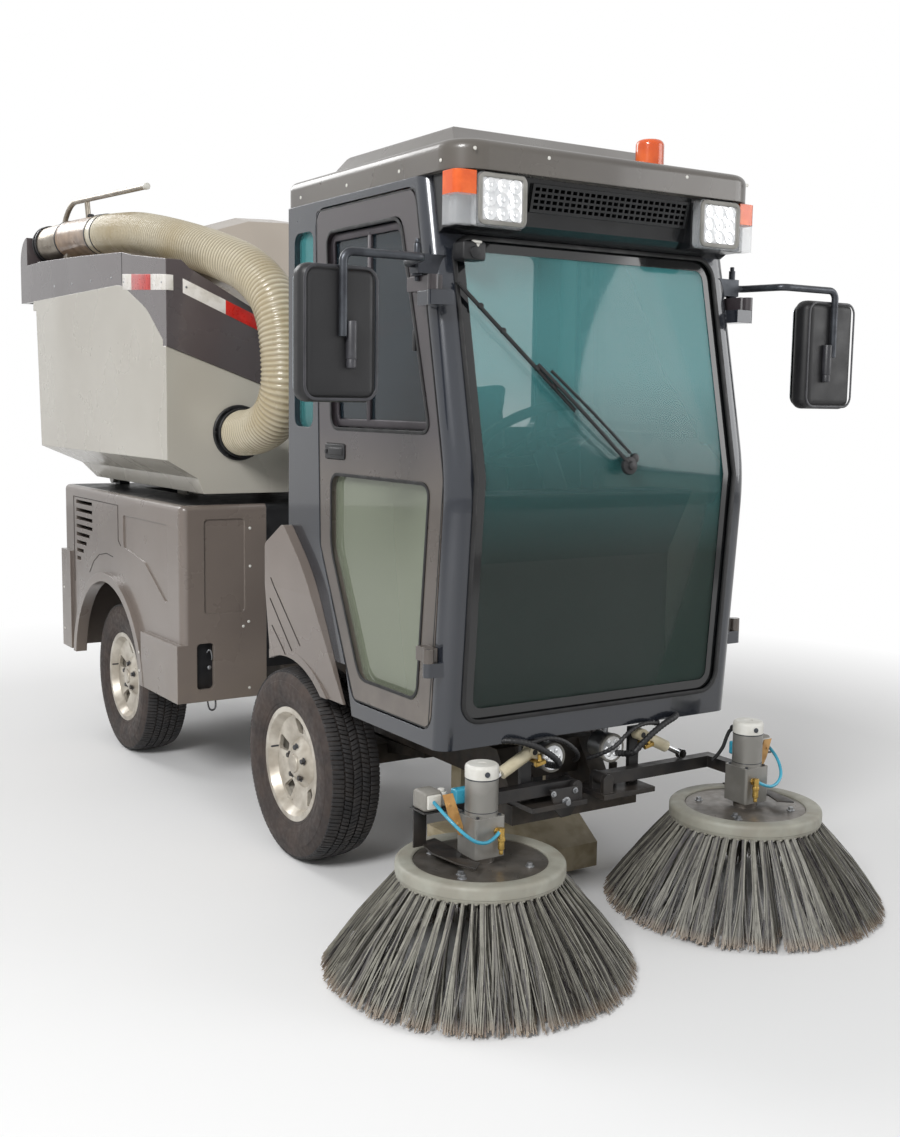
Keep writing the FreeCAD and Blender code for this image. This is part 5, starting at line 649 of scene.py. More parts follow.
def make_brush_head(word):
    """The ring that holds the tufts, their roots, and the steel plate across it with its hub and bolts."""
    centre = middle(f"side_brush_{word}")
    place = facing((centre.x, centre.y, 0))
    body = node = f"side_brush_{word}"
    rim = bmesh.new()
    turned(rim, ((170, 250), (170, 284), (173, 287), (178, 288), (204, 288), (210, 286.5), (214, 282), (215, 276),
                 (215, 257), (213.5, 255), (213.5, 252), (211, 247), (176, 247), (170, 250)), place, 96)
    for tuft in range(OUTER_TUFTS):
        angle = FULL_TURN * (tuft + 0.25) / OUTER_TUFTS
        x, y = centre.x + OUTER_RING * math.cos(angle), centre.y + OUTER_RING * math.sin(angle)
        plug(rim, 7.5, 243, 248, facing((x, y, 0)), 1.0, 8)
    keep(rim, f"brush_ring_{word}", polypropylene_pale, body, stands_for=[node])
    disc = bmesh.new()
    turned(disc, ((0, 262), (169.6, 262), (169.6, 281), (168, 282.2), (36, 282.2), (34, 283), (34, 298),
                  (32.5, 299.6), (0, 299.6)), place, 96)
    keep(disc, f"brush_plate_{word}", steel_plate, body, stands_for=[node])
    bolts = bmesh.new()
    for degrees, reach in ((38, 132), (128, 132), (212, 118), (218, 142), (308, 128)):
        angle = math.radians(degrees)
        bolt(bolts, (centre.x + reach * math.cos(angle), centre.y + reach * math.sin(angle), 282), (0, 0, 1), 14, 8)
    keep(bolts, f"brush_bolts_{word}", steel_zinc, body, edge=0.5, stands_for=[node])


# Tyres
TYRE_RADIUS = 300
TREAD_DEPTH = 9
# Blocks follow each other round a tyre this many times.
TREAD_PITCHES = 66


def crown(across):
    """The tread's radius at a distance from the middle of a tyre."""
    return TYRE_RADIUS - 8.5 * (abs(across) / 78) ** 4


def make_tyre(row, word):
    """A commercial tyre: side walls with their rings, and five rows of cut blocks."""
    node = f"tyre_{row}_{word}"
    place = facing(middle(node), (1, 0, 0))
    body = f"wheel_{row}_{word}"
    half = ((178, 66), (179, 74), (184, 78), (190, 79), (192, 81.5), (206, 85), (208, 86.5), (226, 89), (228, 89.8),
            (246, 90), (258, 89.2), (260, 87.6), (272, 85.5), (283, 81), (288, 76), (291, 69), (292.5, 40))
    wall = bmesh.new()
    turned(wall, [(r, -h) for r, h in half] + [(r, h) for r, h in reversed(half)] + [(178, -66)], place, 96)
    keep(wall, f"tyre_wall_{row}_{word}", rubber_wall, body, sharp=28, stands_for=[node])
    tread = bmesh.new()
    pitch = FULL_TURN / TREAD_PITCHES
    for inner, outer, lag, slant in ((-79, -45, 0.0, 0.12), (-40, -17, 0.5, 0.3), (-12, 12, 0.15, -0.3),
                                     (17, 40, 0.7, 0.3), (45, 79, 0.25, 0.12)):
        for half_block in (0, 1):
            made = block(tread, (-500, -500, -500), (500, 500, 500), 70, 1)
            for v in made:
                u, w, t = v.co / (1000 * MM)
                across = (inner + outer) / 2 + u * (outer - inner)
                angle = pitch * (lag + half_block * 0.47 + w * 0.40 + slant * u)
                reach = crown(across) - TREAD_DEPTH * (0.5 - t)
                v.co = place @ (Vector((reach * math.cos(angle), reach * math.sin(angle), across)) * MM)
    bmesh.ops.spin(tread, geom=whole(tread), cent=place.translation, axis=(1, 0, 0),
                   angle=FULL_TURN - pitch, steps=TREAD_PITCHES - 1, use_duplicate=True)
    keep(tread, f"tyre_tread_{row}_{word}", rubber_tread, body, stands_for=[node])


# Suction hose
def make_hose():
    """A corrugated hose of clear cream vinyl on a steel helix, from the hand pipe to the hopper's front inlet."""
    line = ((-450, 1212, 2074), (-450, 930, 2056), (-445, 690, 2018), (-425, 451, 1970), (-390, 240, 1917),
            (-350, 30, 1850), (-335, -170, 1700), (-335, -170, 1300), (-335, 205, 1300))
    path = curved(line, 4.0)
    mesh = bmesh.new()
    mesh.verts.layers.float.new("crest")
    waves = (HOSE_VALLEY, 77.4, HOSE_CREST, 77.4)
    sleeve(mesh, path, lambda number: waves[number % 4], 48)
    keep(mesh, "hose_wall", vinyl_hose, "hopper", sharp=180, stands_for=["hose"])


# Cab
def front_y(up):
    """How far forward the cab's front reaches at a height: it leans out to its belly and back to the roof."""
    if up < BEND:
        return -1414 - 51 * (up - 531) / 698
    return -1465 + 157 * (up - BEND) / 749


def frame_ring(mesh, outline, corner, width, depth, place, edge=0.0):
    """A flat frame: a polygon with rounded corners, cut hollow by an inset, raised along the place's own Z.

    A point with a third value of 0 keeps its corner.
    """
    before = set(mesh.faces)
    points = [mesh.verts.new(place @ Vector((p[0] * MM, p[1] * MM, 0))) for p in outline]
    mesh.faces.new(points)
    soft = [point for point, p in zip(points, outline) if len(p) == 2]
    rounded(mesh, soft, corner, 6, "VERTICES")
    face = max((f for f in mesh.faces if f not in before), key=lambda f: f.calc_area())
    rim = bmesh.ops.inset_region(mesh, faces=[face], thickness=width * MM, use_even_offset=True,
                                 use_boundary=True)["faces"]
    bmesh.ops.delete(mesh, geom=[face], context="FACES_ONLY")
    raised(mesh, rim, place.to_3x3() @ Vector((0, 0, depth * MM)))
    made = [f for f in mesh.faces if f not in before]
    if edge:
        rims = [e for f in made for e in f.edges if e.is_manifold and e.calc_face_angle() > 1.2]
        rounded(mesh, list(set(rims)), edge)


def recoated(node, name, finishes, choose, body, cuts=(), sharp=30.0):
    """A CAD node's own shape, merged and cut along colour lines, each face given one of several finishes."""
    mesh = mesh_of(node)
    for point, way in cuts:
        bmesh.ops.bisect_plane(mesh, geom=whole(mesh), dist=1e-6, plane_co=Vector(point) * MM, plane_no=way)
    for face in mesh.faces:
        face.material_index = choose(face.calc_center_median() / MM, face.normal)
    smoothed(mesh, sharp)
    piece = stood_up(mesh, name, *finishes)
    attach(piece, body)
    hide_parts(node)


FRONT = Matrix(((1, 0, 0, 0), (0, 0, -1, 0), (0, 1, 0, 0), (0, 0, 0, 1)))


def side_plane(x, side):
    """A place on an upright plane along the machine whose x is Y, whose y is Z, and whose Z looks outwards."""
    out = Vector((side, 0, 0))
    return Matrix.Translation((x * MM, 0, 0)) @ Matrix((
        (0, 0, out.x, 0), (1, 0, 0, 0), (0, 1, 0, 0), (0, 0, 0, 1)))


def make_windscreen_trim():
    """The rubber round the bonded windscreen and the black printed border behind it, both bent with the glass."""
    outline = ((-438, 600), (438, 600), (438, BEND, 0), (438, 1830), (-438, 1830), (-438, BEND, 0))
    for name, spread, width, depth, lift, edge, coat in (
            ("seal", 6, 12, 8, 5, 2, rubber_seal), ("border", 0, 34, 1, -6, 0, glaze_black)):
        mesh = bmesh.new()
        grown = [(x + math.copysign(spread, x), z + (0 if z == BEND else math.copysign(spread, z - 1200)), *rest)
                 for x, z, *rest in outline]
        frame_ring(mesh, grown, 60, width, depth, FRONT, edge)
        bmesh.ops.bisect_plane(mesh, geom=whole(mesh), dist=1e-6, plane_co=(0, 0, BEND * MM), plane_no=(0, 0, 1))
        for v in mesh.verts:
            v.co.y += (front_y(v.co.z / MM) - lift + depth) * MM
        keep(mesh, f"windscreen_{name}", coat, "chassis")


def make_door_trim(word, side):
    """Each door's rubber, the sliding panes' rails and catches, its handle, hinge screws and edge."""
    body = f"door_{word}"
    upper = ((-1352, 1335), (-1195, 1890), (-779, 1890), (-812, 1335))
    lower = ((-1301, 642), (-1352, 1215), (-812, 1215), (-812, 1000), (-986, 642))
    face = side_plane(side * 499.4, side)
    seals = bmesh.new()
    for outline in (upper, lower):
        frame_ring(seals, outline, 40, 9, 3.4, face, 1.2)
    keep(seals, f"door_seals_{word}", rubber_seal, body)
    rails = bmesh.new()
    inner = ((-1340, 1346), (-1187, 1879), (-790, 1879), (-822, 1346))
    frame_ring(rails, inner, 32, 20, 7, side_plane(side * 484, side), 1.0)
    side_block(rails, side, (483, -1021, 1362), (491, -1003, 1868), 1.2)
    side_block(rails, side, (482, -1338, 1356), (488, -826, 1368), 1.0)
    keep(rails, f"window_rails_{word}", anodised_dark, body)
    trim = bmesh.new()
    for near, far, edge in (((486, -1262, 1546), (497, -1248, 1600), 3.5),
                            ((486, -1000, 1600), (497, -986, 1640), 3.5),
                            ((499, -898, 1254), (504, -784, 1296), 2.4),
                            ((501, -890, 1266), (507.5, -806, 1286), 3.0)):
        side_block(trim, side, near, far, edge, 3)
    plug(trim, 7, 0, 5, facing((side * 503.5, -795, 1275), (side, 0, 0)), 1, 16)
    keep(trim, f"door_catches_{word}", abs_black, body)
    screws = bmesh.new()
    for z in (764, 1690):
        for dy in (0, 34):
            rivet(screws, (side * 500.2, -1352 + dy, z - 6), (side, 0, 0), 4.5, 2)
    keep(screws, f"door_screws_{word}", steel_zinc, body)
    gap = bmesh.new()
    line = ((-1357, 580), (-1414, BEND, 0), (-1262, 1952), (-717, 1952), (-750, 1000, 0), (-955, 580))
    frame_ring(gap, line, 14, 4, 1.2, side_plane(side * 499.2, side))
    keep(gap, f"door_edge_{word}", rubber_seal, body)


def make_mirror(word, side):
    """A black moulded mirror head: its rim, the clamp on the arm, and the glass that looks back."""
    x = side * 814
    rims = bmesh.new()
    outline = ((x - 97, 1417), (x + 97, 1417), (x + 97, 1725), (x - 97, 1725))
    frame_ring(rims, outline, 34, 7, 3, FRONT @ Matrix.Translation((0, 0, 1460 * MM)), 1.4)
    keep(rims, f"mirror_rim_{word}", abs_worn, "chassis")
    glass = bmesh.new()
    inner = ((x - 90, 1424), (x + 90, 1424), (x + 90, 1718), (x - 90, 1718))
    back = Matrix.Translation((0, -1394.6 * MM, 0)) @ Matrix(((1, 0, 0, 0), (0, 0, 1, 0), (0, 1, 0, 0), (0, 0, 0, 1)))
    points = [glass.verts.new(back @ Vector((a * MM, b * MM, 0))) for a, b in inner]
    raised(glass, [glass.faces.new(points)], (0, 1.6 * MM, 0))
    uprights = [e for e in glass.edges if abs(e.verts[0].co.y - e.verts[1].co.y) > 0.001]
    rounded(glass, uprights, 28, 6)
    keep(glass, f"mirror_glass_{word}", mirror_silver, "chassis")
    clamp = bmesh.new()
    arm = facing((side * 792, -1469, 0))
    plug(clamp, 13, 1512, 1600, arm, 2)
    plug(clamp, 11.5, 1492, 1513, arm, 2)
    block(clamp, (side * 792 - 9, -1478, 1530), (side * 792 + 9, -1458, 1586), 2)
    keep(clamp, f"mirror_clamp_{word}", abs_worn, "chassis")
    pin = bmesh.new()
    post = facing((side * 533, -1330, 0))
    for radius, low, high in ((9, 1779, 1806), (6, 1806, 1817), (15, 1726, 1733), (7, 1714, 1728)):
        plug(pin, radius, low, high, post, 1.5)
    keep(pin, f"mirror_pin_{word}", steel_dark, "chassis")


def make_wiper():
    """Two parallel pressed arms from one spindle, and a long blade with its rubber lip."""
    foot, top = (40, 1262), (-437, 1717)
    way = Vector((top[0] - foot[0], 0, top[1] - foot[1])).normalized()
    away = Vector((way.z, 0, -way.x))

    def on_glass(x, z, lift):
        return Vector((x, front_y(z) - lift, z))

    def along(share, aside, lift):
        return on_glass(foot[0] + (top[0] - foot[0]) * share + away.x * aside,
                        foot[1] + (top[1] - foot[1]) * share + away.z * aside, lift)

    arms = bmesh.new()
    for offset, start, end, radius in ((0, 0.0, 0.56, 5.0), (26, 0.02, 0.50, 4.0)):
        sleeve(arms, [along(start + (end - start) * k / 8, offset * (1 - 0.35 * k / 8),
                            22 + 6 * math.sin(math.pi * k / 8)) * MM for k in range(9)], radius, 10)
    spindle = facing(on_glass(44, 1256, 8), (0, -1, 0.1))
    plug(arms, 24, 0, 16, spindle, 4)
    plug(arms, 11, 16, 24, spindle, 3)
    plug(arms, 13, 0, 14, facing(on_glass(66, 1276, 8), (0, -1, 0.1)), 3)
    keep(arms, "wiper_arms", powder_black, "chassis", stands_for=["wiper"])
    blade = bmesh.new()
    for radius, lift, start, end in ((5.5, 15, 0.32, 1.0), (2.4, 8.5, 0.31, 1.01)):
        sleeve(blade, [along(start + (end - start) * k / 8, -8, lift) * MM for k in range(9)], radius, 8)
    for share in (0.45, 0.55, 0.75, 0.88):
        plug(blade, 8, 0, 11, facing(along(share, -8, 12), (0, -1, 0.2)), 2, 12)
    keep(blade, "wiper_blade", rubber_seal, "chassis", stands_for=["wiper"])


def make_headlamp(word, side):
    """A square lamp: grey housing rim and a bright reflector with nine diode cups."""
    low, high = sorted((side * 290, side * 436))
    rim = bmesh.new()
    frame_ring(rim, ((low + 1, 1849), (high - 1, 1849), (high - 1, 1973), (low + 1, 1973)), 18, 11, 7,
               FRONT @ Matrix.Translation((0, 0, 1447.5 * MM)), 2)
    keep(rim, f"headlamp_rim_{word}", polypropylene_grey, "chassis")
    cups = bmesh.new()
    block(cups, (low + 10, -1450.4, 1859), (high - 10, -1447.8, 1963), 1)
    for column in (-1, 0, 1):
        for row in (-1, 0, 1):
            turned(cups, ((18, 0), (17.4, 2.6), (15.8, 2.2), (7, 0.9), (5.6, 1.0), (4.6, 3.0), (0, 3.6)),
                   facing(((low + high) / 2 + column * 37.5, -1450.3, 1911 + row * 33.5), (0, -1, 0)), 20)
    keep(cups, f"headlamp_diodes_{word}", reflector, "chassis")


def make_roof_fasteners():
    """White capped screws round the roof's skirt, and the camera with its knob under the roof's edge."""
    caps = bmesh.new()
    for side in SIDES.values():
        for y in (-1380, -1181, -900, -620):
            rivet(caps, (side * 499.8, y, 2001), (side, 0, 0), 5, 2.2)
    for x in (-452, -230, 230, 452):
        rivet(caps, (x, -1457.6, 2024), (0, -1, 0), 5, 2.2)
    keep(caps, "roof_screws", polypropylene_white, "chassis")
    eye = bmesh.new()
    block(eye, (-452, -1414, 1766), (-384, -1362, 1812), 6, 3)
    plug(eye, 15, 0, 10, facing((-418, -1410, 1786), (0, -1, -0.15)), 3)
    keep(eye, "camera_housing", abs_black, "chassis")
    knob = bmesh.new()
    stem = facing((-409, -1402, 1788), (0, -0.25, 1))
    plug(knob, 9, 0, 24, stem, 3, 20)
    plug(knob, 13, 22, 28, stem, 2, 20)
    keep(knob, "camera_knob", polypropylene_white, "chassis")


def coat_lamps():
    """The lamps' own lenses: orange over clear for the indicators, red at the rear, orange for the beacon."""
    def choose(at, _normal):
        if at.y > 1000:
            return 1
        if at.z > 2050 and at.x > 0:
            return 0
        if abs(at.x) > 437 and at.z > 1846:
            return 0 if at.z > 1919 else 2
        return 3 if at.z < 1000 else 2
    recoated("lamps", "lamp_lenses", (polycarbonate_orange, polycarbonate_red, polycarbonate_clear, steel_zinc),
             choose, "chassis", [((0, 0, 1919), (0, 0, 1))])


def coat_mirrors():
    """Painted steel arms and brackets, moulded heads."""
    recoated("mirrors", "mirror_bodies", (steel_dark, abs_black),
             lambda at, _normal: 1 if abs(at.x) > 708 and at.y > -1461.5 and at.z < 1740 else 0,
             "chassis")


# Hopper
def make_hopper_coats():
    """The lid in two gel coats: a dark band and hood round a pale dome and its gutters."""
    def choose(at, normal):
        return 1 if abs(at.x) < 528 and at.y < 1722 and normal.z > 0.22 else 0
    recoated("hopper_lid", "lid_shell", (gelcoat_dark, gelcoat_dome), choose, "hopper",
             [((528, 0, 0), (1, 0, 0)), ((-528, 0, 0), (1, 0, 0)), ((0, 1722, 0), (0, 1, 0))])


def make_reflective_strips():
    """White and red reflective strips: level along each side, round its front corner, and down the front edge."""
    white, red, screws = bmesh.new(), bmesh.new(), bmesh.new()
    for side in SIDES.values():
        wall = side_plane(side * 599.9, side)
        for mesh, rear, front in ((white, 635, 540), (red, 540, 345), (white, 345, 199.2)):
            plate(mesh, [(y, z + (y - 143) * slope) for z, slope, y in (
                (1779, 0.061, rear), (1779, 0.061, front), (1831, 0.071, front), (1831, 0.071, rear))],
                  1.1, wall, 0.4)
        nose = FRONT @ Matrix.Translation((0, 0, -200.1 * MM))
        plate(white, sided(side, ((601, 1783), (574, 1782), (574, 1834), (601, 1835))), 1.1, nose, 0.4)
        for mesh, outer, inner in ((white, 540, 383), (red, 383, 233), (white, 233, 150)):
            plate(mesh, sided(side, [(x, 1640 + (x - 150) * 0.412 + rise) for x, rise in (
                (outer, -25), (inner, -25), (inner, 24), (outer, 24))]), 1.1, nose, 0.4)
        for x in (528, 246, 165):
            rivet(screws, (side * x, 199, 1640 + (x - 150) * 0.412), (0, -1, 0), 4.5, 2)
        for y in (622, 240):
            rivet(screws, (side * 600.9, y, 1805 + (y - 143) * 0.066), (side, 0, 0), 4.5, 2)
    keep(white, "reflective_white", tape_white, "hopper")
    keep(red, "reflective_red", tape_red, "hopper")
    keep(screws, "reflective_screws", steel_zinc, "hopper")


def make_lid_seams():
    """The joint between the lid's front and rear mouldings, and the screws along the band."""
    seam, screws = bmesh.new(), bmesh.new()
    for side in SIDES.values():
        side_block(seam, side, (599.6, 640.5, 1833), (600.6, 644.5, 1944), 0.2, 1)
        for y in (760, 1000, 1240, 1480):
            rivet(screws, (side * 600, y, 1858 + (y - 650) * 0.02), (side, 0, 0), 5, 2)
    keep(seam, "lid_seam", rubber_seal, "hopper")
    keep(screws, "lid_screws", steel_zinc, "hopper")


def make_pipe_dress():
    """What joins the steel pipe to the hose: a heat-stained sleeve, a plain cuff, band clamps and worm screws."""
    line = ((-450, 1212.3, 2074), (-450, 1266.6, 2077.5), (-450, 1560, 2096.3), (-500, 1850, 2084.3))
    path = curved(line, 6)

    def between(rear, front):
        return [p for p in path if front * MM <= p.y <= rear * MM]
    stained = bmesh.new()
    long = between(1660, 1296)
    sleeve(stained, long, lambda number: 77.4 + (1.6 if number in (1, 2, len(long) - 3, len(long) - 2) else 0), 48)
    keep(stained, "pipe_sleeve", vinyl_stained, "hopper")
    cuff = bmesh.new()
    cuff.verts.layers.float.new("crest")
    short = between(1296, 1200)
    sleeve(cuff, short, lambda number: 79.5 + (1.0 if number % 4 == 1 else 0), 48)
    keep(cuff, "hose_cuff", vinyl_hose, "hopper")
    bands, screws = bmesh.new(), bmesh.new()
    for y, radius, wide in ((1866, 81, 9), (1842, 81, 9), (1652, 80.5, 11), (1298, 82.5, 12), (1226, 82.5, 10)):
        number = min(range(1, len(path) - 1), key=lambda i: abs(path[i].y - y * MM))
        way = path[number + 1] - path[number - 1]
        at = path[number] / MM if y < 1850 else Vector((-500 - (y - 1850) * 0.17, y, 2084.3 - (y - 1850) * 0.04))
        place = facing(at, way)
        ring(bands, radius, 74.5, -wide / 2, wide / 2, place, 1.2, 64)
        if y < 1840:
            block(screws, (radius - 3, -9, -7), (radius + 9, 9, 7), 2, place=place @ Matrix.Rotation(0.9, 4, "Z"))
    keep(bands, "hose_bands", powder_black, "hopper")
    keep(screws, "hose_band_screws", steel_zinc, "hopper")
    feet = bmesh.new()
    for at in ((-483, 1752, 2112), (-450, 1456, 2160)):
        plug(feet, 17, 0, 20, facing(at), 5)
    keep(feet, "handle_feet", rubber_seal, "hopper")
    tip = bmesh.new()
    plug(tip, 12.6, 0, 26, facing((-450, 797, 2212.2), (0, -1, -0.053)), 4)
    keep(tip, "handle_tip", polypropylene_white, "hopper")
    flange = bmesh.new()
    inlet = facing((-335, 205, 1300), (0, -1, 0))
    ring(flange, 98, 74, 0, 12, inlet, 3, 64)
    ring(flange, 86, 74, 12, 30, inlet, 2, 64)
    for k in range(6):
        angle = k * math.pi / 3
        bolt(flange, (-335 + 91.5 * math.cos(angle), 193, 1300 + 91.5 * math.sin(angle)), (0, -1, 0), 8, 4)
    keep(flange, "hose_flange", abs_black, "hopper")


def make_hopper_door_trim():
    """The two lever catches near the lower edge of the rear door."""
    low, high = (Vector(corner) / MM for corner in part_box("hopper_door"))
    face, foot = high.y, low.z
    catches = bmesh.new()
    for x in (-0.62 * (high.x - low.x) / 2, 0.62 * (high.x - low.x) / 2):
        block(catches, (x - 20, face - 1, foot + 60), (x + 20, face + 10, foot + 130), 4, 3)
        block(catches, (x - 7, face + 8, foot + 70), (x + 7, face + 20, foot + 150), 4, 3)
    keep(catches, "hopper_door_catches", steel_zinc, "hopper_door")


# Body sides, fenders and wheels
def on_side(tree, y, z, side):
    """The point of a node's outer side at a place along and up the machine."""
    return tree.ray_cast(Vector((side * 0.9, y * MM, z * MM)), Vector((-side, 0, 0)))[0]


def tree_of(node):
    """A node's surface, for finding points on it."""
    mesh = bmesh.new()
    mesh.from_mesh(frame["nodes"][node].data)
    tree = BVHTree.FromBMesh(mesh)
    mesh.free()
    return tree


def painted_shade_line(mesh, tree, corners, side, radius=1.7):
    """A thin line along corners given as (y, z) pairs, laid on a node's outer side, to carry the painted shade of a
    pressed groove.
    """
    for (y0, z0), (y1, z1) in zip(corners, corners[1:]):
        count = max(2, round(math.hypot(y1 - y0, z1 - z0) / 25))
        path = [p for k in range(count + 1) if (
            p := on_side(tree, y0 + (y1 - y0) * k / count, z0 + (z1 - z0) * k / count, side))]
        if len(path) > 2:
            sleeve(mesh, path, radius, 6)


def make_side_details(word, side):
    """Pressed lines of the engine cover as thin lines of painted shade, screws on the front face, the filler slot's
    inside, hook and buffer.
    """
    tree = tree_of(f"body_side_{word}")
    lines = bmesh.new()
    painted_shade_line(lines, tree, ((1404, 640), (1404, 1002), (846, 1002), (846, 866), (818, 846)), side)
    painted_shade_line(lines, tree, ((1206, 700), (1150, 752), (1080, 786), (990, 800), (912, 794)), side)
    keep(lines, f"cover_lines_{word}", shadow_gap, "chassis")
    screws = bmesh.new()
    for x, z in ((299, 823), (305, 622), (326, 606), (303, 378), (299, 960)):
        rivet(screws, (side * x, 190, z), (0, -1, 0), 5.5, 2.4)
    for y, z in ((1523, 600), (1523, 420), (574, 470), (574, 400)):
        spot = on_side(tree, y, z, side)
        if spot:
            rivet(screws, spot / MM, (side, 0, 0), 5.5, 2.4)
    keep(screws, f"cover_screws_{word}", polypropylene_white, "chassis")
    slot = bmesh.new()
    side_block(slot, side, (428, 206, 377), (516, 210, 567), 1)
    keep(slot, f"filler_back_{word}", powder_black, "chassis")
    hook = bmesh.new()
    sleeve(hook, curved(sided(side, (
        (461, 204, 520), (461, 196, 530), (450, 196, 530), (444, 196, 500), (444, 204, 492))), 3), 2.6, 8)
    rivet(hook, (side * 452, 206, 464), (0, -1, 0), 8, 5)
    keep(hook, f"filler_latch_{word}", steel_zinc, "chassis")
    eye = bmesh.new()
    sleeve(eye, curved(sided(side, (
        (462, 200, 346), (462, 192, 318), (447, 192, 308), (432, 192, 318), (432, 200, 346))), 4), 3.2, 8)
    keep(eye, f"tie_eye_{word}", steel_dark, "chassis")
    buffer = bmesh.new()
    place = facing((side * 520, 1552, 400), (0, 1, 0))
    plug(buffer, 22, 0, 24, place, 6)
    plug(buffer, 11, 22, 30, place, 3)
    keep(buffer, f"rear_buffer_{word}", rubber_seal, "chassis")


def make_fender_lines(word, side, tree):
    """Three pressed grooves below the fender's crest, drawn as thin lines of painted shade."""
    lines = bmesh.new()
    for corners in (((-476, 873), (-653, 687)), ((-464, 807), (-594, 662)), ((-464, 722), (-549, 643))):
        painted_shade_line(lines, tree, corners, side, 2.2)
    keep(lines, f"fender_lines_{word}", shadow_gap, "chassis")


def make_wheel_details(row, word, side):
    """Wheel nuts in their wells, the tyre's valve, and the cap over the hub."""
    body, centre = f"wheel_{row}_{word}", middle(f"rim_{row}_{word}")
    out = (side, 0, 0)
    face = side * 62
    nuts = bmesh.new()
    for k in range(5):
        angle = FULL_TURN * k / 5 + math.pi / 2
        at = (centre.x + face - side * 9, centre.y + 50 * math.cos(angle), centre.z + 50 * math.sin(angle))
        bolt(nuts, at, out, 15, 9)
    plug(nuts, 3.2, 0, 26, facing((centre.x + side * 58, centre.y + 118, centre.z + 30), out), 1, 10)
    keep(nuts, f"wheel_nuts_{row}_{word}", steel_dark, body, edge=0.6)
    cap = bmesh.new()
    turned(cap, ((29, -2), (29, 2), (27, 5), (20, 7.5), (10, 8.6), (0, 9)), facing(
        (centre.x + face, centre.y, centre.z), out), 40)
    keep(cap, f"wheel_cap_{row}_{word}", alloy_painted, body)


# Brush gear
def make_brush_fittings(word, side):
    """What hangs on a brush arm: motor cap, splash plate, sensor box, strap, water nozzle and its pipe, cable."""
    body = f"brush_arm_{word}"
    centre = middle(f"side_brush_{word}")
    axle = facing((centre.x, centre.y, 0))
    caps = bmesh.new()
    turned(caps, ((41.5, 496), (43, 497), (43, 522), (41.5, 527), (37, 530.6), (12, 530.8), (11, 529.4), (0, 529.4)),
           axle, 48)
    keep(caps, f"motor_cap_{word}", polypropylene_white, body)
    dark = bmesh.new()
    ring(dark, 42.7, 41, 493.4, 496, axle, 0.4)
    ring(dark, 42.7, 41, 412, 414, axle, 0.4)
    plug(dark, 7, 0, 3, facing((centre.x - 12, centre.y - 41.6, 512), (-0.28, -1, 0)), 1.2, 16)
    for dx in (-33, 33):
        for dy in (-33, 33):
            plug(dark, 4.6, 402, 406, facing((centre.x + dx, centre.y + dy, 0)), 1, 6)
    keep(dark, f"motor_bands_{word}", steel_dark, body)
    plates = bmesh.new()
    outline = ((506, -1402), (556, -1416), (574, -1500), (562, -1590), (544, -1648), (510, -1616), (532, -1560),
               (512, -1542), (506, -1500))
    shift = centre.x - side * 458
    plate(plates, [(side * a + shift, b) for a, b in outline], 4, facing((0, 0, 303)), 0.8)
    side_block(plates, side, (512, -1502, 408), (600, -1432, 412), 1)
    side_block(plates, side, (552, -1437, 304), (590, -1432, 410), 1)
    keep(plates, f"splash_plate_{word}", powder_black, body)
    box = bmesh.new()
    side_block(box, side, (544, -1500, 412), (598, -1440, 462), 9, 3)
    keep(box, f"sensor_box_{word}", polypropylene_grey, body)
    lid = bmesh.new()
    side_block(lid, side, (551, -1506, 419), (591, -1498, 455), 3.6, 3)
    foot = facing((side * 526, -1462, 0))
    plug(lid, 15, 412, 448, foot, 3)
    plug(lid, 9, 448, 456, foot, 2)
    keep(lid, f"sensor_lid_{word}", polypropylene_white, body)
    blue = bmesh.new()
    side_block(blue, side, (450, -1503, 420), (508, -1476, 458), 5, 3)
    run = ((436, -1600, 372), (470, -1612, 350), (512, -1612, 352), (546, -1598, 378), (572, -1545, 420),
           (574, -1504, 438))
    sleeve(blue, curved(sided(side, run), 6), 4.6, 12)
    keep(blue, f"water_pipe_{word}", polyurethane_cyan, body)
    strap = bmesh.new()
    plate(strap, sided(side, ((566, 462), (548, 408), (516, 352), (504, 348), (504, 372), (536, 462))), 3,
          FRONT @ Matrix.Translation((0, 0, 1530 * MM)), 0.6)
    for a, b in ((547, 436), (522, 384), (516, 372)):
        plug(strap, 4, 0, 3, facing((side * a, -1533, b), (0, -1, 0)), 1, 10)
    keep(strap, f"brush_strap_{word}", enamel_ochre, body)
    nozzle = bmesh.new()
    tap = facing((side * 440, -1587, 366), (0, -1, 0))
    plug(nozzle, 11, 0, 5, tap, 1, 6)
    plug(nozzle, 7.5, 5, 20, tap, 1.5, 20)
    upright = facing((side * 437, -1602, 0))
    plug(nozzle, 8.5, 322, 378, upright, 2, 20)
    plug(nozzle, 10.5, 344, 354, upright, 1, 6)
    plug(nozzle, 5.5, 310, 323, upright, 1.5, 16)
    keep(nozzle, f"water_nozzle_{word}", brass, body)
    cable = bmesh.new()
    sleeve(cable, curved(sided(side, (
        (446, -1506, 500), (444, -1488, 498), (436, -1480, 470), (428, -1474, 432), (414, -1450, 398))), 6), 5.2, 10)
    plug(cable, 8, 0, 13, facing((side * 446, -1502, 500), (0, 1, 0.1)), 2, 16)
    keep(cable, f"motor_cable_{word}", rubber_seal, body)


